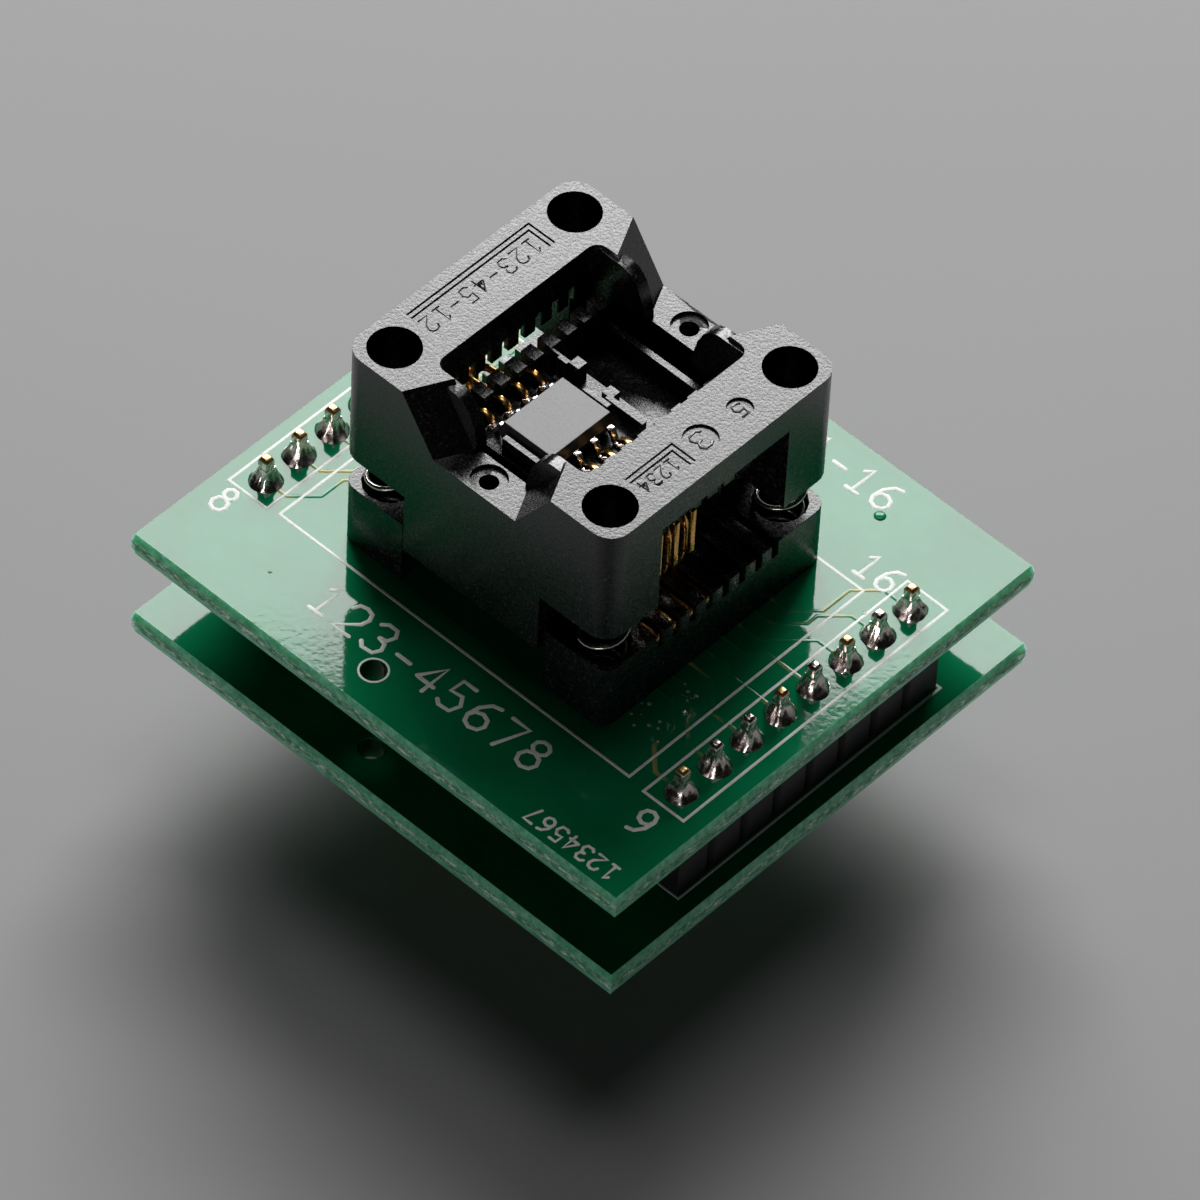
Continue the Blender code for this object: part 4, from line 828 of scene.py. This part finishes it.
def pinShank(bm, x, y, low, high, goldFrom):
    half = pins["side"] / 2
    made = addBox(bm, (x - half, y - half, low + pins["tipLength"]),
                  (x + half, y + half, high - pins["tipLength"]))
    faces = list({face for vert in made for face in vert.link_faces})
    ends = [face for face in faces if abs(face.normal.z) > 0.5]
    grown = bmesh.ops.extrude_discrete_faces(bm, faces=ends)["faces"]
    for face in grown:
        rise = pins["tipLength"] if face.normal.z > 0 else -pins["tipLength"]
        bmesh.ops.translate(bm, vec=(0, 0, rise), verts=face.verts)
        middle = Matrix.Translation(-face.calc_center_median())
        share = pins["tipShare"]
        bmesh.ops.scale(bm, vec=(share, share, 1), space=middle, verts=face.verts)
    easeEdges(bm, bm.edges[:], pins["edgeRadius"])
    for face in bm.faces:
        face.material_index = 1 if face.calc_center_median().z > goldFrom else 0
    for vert in bm.verts:
        vert.tag = True


def tailJoints(tails):
    # The contacts' tails are soldered under the upper board
    bm = bmesh.new()
    for seed, (x, y) in enumerate(tails):
        solderBase(bm, x, y, upperLow.z, contact["solderHeight"], False, 900 + seed, contact["solderBase"])
    return pieceFrom(bm, "tailJoints", [solder], "base", smoothAngle=50)


def makePin(name, node, x, y, low, high, fillets, seed, goldFrom):
    bm = bmesh.new()
    pinShank(bm, x, y, low, high, goldFrom)
    for index, (height, reach, upward) in enumerate(fillets):
        solderBase(bm, x, y, height, reach, upward, seed * 10 + index)
    piece = pieceFrom(bm, name, [solder, pinGold], "base", smoothAngle=50)
    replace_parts(piece, node)


for number, (x, y) in enumerate(pinPlaces(pins["linkRows"]), start=1):
    low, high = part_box(f"link_pin_{number:02d}")
    makePin(f"linkPin{number:02d}", f"link_pin_{number:02d}", x, y, low.z, high.z,
            [(upperHigh.z, pins["solderHeight"], True), (lowerLow.z, pins["lowSolderHeight"], False)],
            number, high.z - (0 if number in pins["tinnedTips"] else pins["tipLength"]))
for number, (x, y) in enumerate(pinPlaces(pins["plugRows"]), start=1):
    low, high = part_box(f"plug_pin_{number:02d}")
    makePin(f"plugPin{number:02d}", f"plug_pin_{number:02d}", x, y, low.z, high.z,
            [(lowerHigh.z, pins["lowSolderHeight"], True)], 40 + number, low.z - 1 * mm)
print("pins made")


# Black mouldings

mouldings = {"strip": 0.06 * mm, "base": 0.05 * mm, "cover": 0.09 * mm}
engraving = {
    "width": 0.12 * mm, "depth": 0.08 * mm, "rimAngle": 50,
    "numbers": [("123-45-12", -7.85, -0.3, 0.65, 1.1, -90), ("1234", 7.85, -3.4, 0.46, 0.9, -90)],
    # Raised in the floors of the two sunk discs
    "discNumbers": [("3", 7.6, 0.05, 0.85, 1.2, -90), ("5", 7.6, 3.05, 0.6, 0.9, -90)],
    "discLine": 0.17 * mm, "discHeight": 0.06 * mm, "discDepth": 0.15 * mm,
}


def engrave(piece):
    # Plain numbers sunk into the cover's bars after its edges are eased.
    # Each round cuts one stroke of every digit, so that no cutter crosses itself
    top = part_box("socket_cover")[1].z
    rounds = [[], []]
    for number in engraving["numbers"]:
        strokes = numberStrokes(*number)
        for digit in number[0]:
            for index in range(len(digitStrokes(digit))):
                rounds[index].append(strokes.pop(0))
    cutters = []
    for strokes in rounds:
        bm = strokeShape("engraving", strokes, engraving["width"], engraving["depth"], top)
        cutter = addObject("engraving", meshFrom(bm, "engraving"))
        cut = piece.modifiers.new("engraving", "BOOLEAN")
        cut.operation = "DIFFERENCE"
        cut.solver = "EXACT"
        cut.object = cutter
        cutters.append(cutter)
    solid = finalMesh(piece)
    piece.modifiers.clear()
    bm = bmesh.new()
    bm.from_mesh(solid)
    bmesh.ops.remove_doubles(bm, verts=bm.verts, dist=0.0005 * mm)
    bm.to_mesh(solid)
    bm.free()
    # The grooves' rims turn by more than any eased edge does
    solid.set_sharp_from_angle(angle=math.radians(engraving["rimAngle"]))
    piece.data = solid
    for cutter in cutters:
        bpy.data.objects.remove(cutter)
    even = piece.modifiers.new("even normals", "WEIGHTED_NORMAL")
    even.keep_sharp = True


def dressMoulding(node, name, material, body, radius):
    bm = mergedCopy(node)
    piece = pieceFrom(bm, name, [material], body, smoothAngle=30)
    bevelled(piece, radius)
    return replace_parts(piece, node)


for kind in ("link", "plug"):
    for side in ("left", "right"):
        dressMoulding(f"{kind}_strip_{side}", f"{kind}Strip{side.capitalize()}", nylon, "base",
                      mouldings["strip"])
dressMoulding("socket_base", "socketBase", moulding, "base", mouldings["base"])
cover = dressMoulding("socket_cover", "socketCover", moulding, "cover",
                      mouldings["cover"])
engrave(cover)
raised = [stroke for number in engraving["discNumbers"] for stroke in numberStrokes(*number)]
inkPiece("discNumbers", raised, engraving["discLine"], engraving["discHeight"],
         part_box("socket_cover")[1].z - engraving["discDepth"], moulding, "cover")
print("mouldings dressed")


# Return springs

spring = {
    "outside": 2.9 * mm, "wire": 0.3 * mm, "turns": 6.5,
    "closedPitch": 0.35 * mm, "stepsPerTurn": 24,
}


def makeSpring(number):
    node = f"spring_{number}"
    low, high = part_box(node)
    middle = (low + high) / 2
    radius = (spring["outside"] - spring["wire"]) / 2
    bottom = low.z + spring["wire"] / 2
    top = high.z - spring["wire"] / 2
    count = int(spring["turns"] * spring["stepsPerTurn"])
    curve = startTube(node, spring["wire"], 3)
    spline = curve.splines.new("POLY")
    spline.points.add(count)
    for index, point in enumerate(spline.points):
        turn = index * spring["turns"] / count
        left = spring["turns"] - turn
        closed = spring["closedPitch"]
        if turn < 1:
            z = bottom + closed * turn
        elif left < 1:
            z = top - closed * left
        else:
            z = bottom + closed + (turn - 1) / (spring["turns"] - 2) * (top - bottom - 2 * closed)
        angle = 2 * math.pi * turn
        point.co = (middle.x + radius * math.cos(angle), middle.y + radius * math.sin(angle), z, 1)
    bm = tubeShape(curve, 0.001 * mm)
    piece = pieceFrom(bm, f"returnSpring{number}", [springWire], "base", smoothAngle=60)
    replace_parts(piece, node)
    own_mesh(piece)


for number in range(1, 5):
    makeSpring(number)
print("springs wound")


# Spring contacts

contact = {
    "width": 0.36 * mm, "band": 0.30 * mm, "edgeRadius": 0.04 * mm,
    "nose": (-4.25 * mm, 6.34 * mm), "noseRadius": 0.8 * mm, "noseStart": 145, "noseEnd": 5,
    "arm": (-2.3 * mm, 5.07 * mm),
    # The bends' radii and steps, from the arm down to the foot and the hook
    "armBend": (0.5 * mm, 5), "leverBend": (0.2 * mm, 5),
    "lowerBends": [(0.5 * mm, 5), (0.3 * mm, 4), (0.34 * mm, 5), (0.3 * mm, 4)],
    "bowReach": 0.65 * mm, "shoulderHeight": 4.6 * mm, "shoulderRadius": 1.4 * mm,
    "shoulderStart": 80, "bowLow": 1.4 * mm,
    "heel": 0.2 * mm, "footDrop": 0.75 * mm, "footEnd": 2.4 * mm, "hook": 0.65 * mm,
    "tailX": 1.4 * mm, "tailSide": 0.4 * mm,
    "leverReach": 1.1 * mm, "leverFoot": 1.8 * mm, "leverTop": 5.2 * mm, "leverBand": 0.23 * mm,
    "steps": 12, "blendLow": -0.5 * mm, "blendHigh": 1.2 * mm,
    "solderBase": 1.35 * mm, "solderHeight": 0.6 * mm,
}


def roundedCorner(points, index, radius, steps):
    # The points of a rounded corner in place of one sharp point
    before, corner, after = (Vector(points[index + shift]) for shift in (-1, 0, 1))
    inward = (before - corner).normalized() * radius
    outward = (after - corner).normalized() * radius
    made = []
    for step in range(steps + 1):
        share = step / steps
        made.append(tuple(corner + inward * (1 - share) ** 2 + outward * share ** 2))
    return made


def contactPath():
    # Middle line from the pivot, in (outwards, up): nose, hump, arm, shoulder, bow, heel, foot, hook
    c = contact
    start = math.radians(c["noseStart"])
    hump = (c["nose"][0] - c["noseRadius"] * math.cos(start),
            c["nose"][1] - c["noseRadius"] * math.sin(start))
    path = arc(*hump, c["noseRadius"], c["noseRadius"], c["noseStart"], c["noseEnd"], c["steps"])
    shoulder = (c["bowReach"] - c["shoulderRadius"], c["shoulderHeight"] - c["shoulderRadius"])
    arm = [path[-1], c["arm"], (shoulder[0], c["shoulderHeight"])]
    path += roundedCorner(arm, 1, *c["armBend"])
    path += arc(*shoulder, c["shoulderRadius"], c["shoulderRadius"], c["shoulderStart"], 0, 8)
    lower = [(c["bowReach"], shoulder[1]), (c["bowReach"], c["bowLow"]), (c["heel"], c["heel"]),
             (0, -c["footDrop"]), (c["footEnd"], -c["footDrop"]),
             (c["footEnd"], -c["footDrop"] - c["hook"])]
    for index, bend in enumerate(c["lowerBends"], start=1):
        path += roundedCorner(lower, index, *bend)
    return path + [lower[-1]]


def leverPath():
    # The lever stands outside the bow and starts inside its band
    c = contact
    corner = [(c["bowReach"], c["leverFoot"]), (c["leverReach"], c["leverFoot"]),
              (c["leverReach"], c["leverTop"])]
    return [corner[0]] + roundedCorner(corner, 1, *c["leverBend"]) + [corner[2]]


def bandMesh(path, band, pivot, side, middleY):
    # A path of (outwards, up) from the pivot becomes a stamped band with eased edges
    bm = bmesh.new()
    half = contact["width"] / 2
    verts = [bm.verts.new((pivot.x + side * x, middleY - half, pivot.z + z)) for x, z in path]
    edges = [bm.edges.new(pair) for pair in zip(verts, verts[1:])]
    grown = bmesh.ops.extrude_edge_only(bm, edges=edges)["geom"]
    moved = [item for item in grown if isinstance(item, bmesh.types.BMVert)]
    bmesh.ops.translate(bm, vec=(0, contact["width"], 0), verts=moved)
    strip = addObject("strip", meshFrom(bm, "strip"))
    wall = strip.modifiers.new("band", "SOLIDIFY")
    wall.thickness = band
    wall.offset = 0
    wall.use_even_offset = True
    bevelled(strip, contact["edgeRadius"], angle=50)
    solid = finalMesh(strip)
    bpy.data.objects.remove(strip)
    return solid


def makeContact(side, word, number):
    node = f"contact_{word}_{number}"
    low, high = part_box(node)
    middleY = (low.y + high.y) / 2
    pivot = Vector(joints[f"contacts_{word}_open"]["pos_m"])
    half = contact["width"] / 2
    bm = bmesh.new()
    for path, band in ((contactPath(), contact["band"]), (leverPath(), contact["leverBand"])):
        solid = bandMesh(path, band, pivot, side, middleY)
        bm.from_mesh(solid)
        bpy.data.meshes.remove(solid)
    tailX = pivot.x + side * contact["tailX"]
    tail = contact["tailSide"] / 2
    made = addBox(bm, (tailX - tail, middleY - half, low.z),
                  (tailX + tail, middleY + half, pivot.z - contact["footDrop"]))
    easeEdges(bm, list({edge for vert in made for edge in vert.link_edges}), contact["edgeRadius"])
    bmesh.ops.recalc_face_normals(bm, faces=bm.faces)
    for face in bm.faces:
        face.material_index = 0
    piece = pieceFrom(bm, f"contact{word.capitalize()}{number}", [gold], None,
                      smoothAngle=40)
    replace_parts(piece, node)
    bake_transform(piece)
    return tailX, middleY


tails = []
for side, word in ((-1, "left"), (1, "right")):
    for number in range(1, 5):
        tails.append(makeContact(side, word, number))
tailJoints(tails)
print("contacts bent")


# Chip

chip = {"edgeRadius": 0.035 * mm, "leadsFrom": 1.98 * mm}


def dressChip():
    low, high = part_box("test_chip")
    middleX = (low.x + high.x) / 2
    bm = mergedCopy("test_chip")
    for face in bm.faces:
        far = max(abs(vert.co.x - middleX) for vert in face.verts)
        face.material_index = 1 if far > chip["leadsFrom"] else 0
    piece = pieceFrom(bm, "testChip", [epoxy, solder], "base", smoothAngle=30)
    bevelled(piece, chip["edgeRadius"])
    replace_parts(piece, "test_chip")


dressChip()
print("chip dressed")
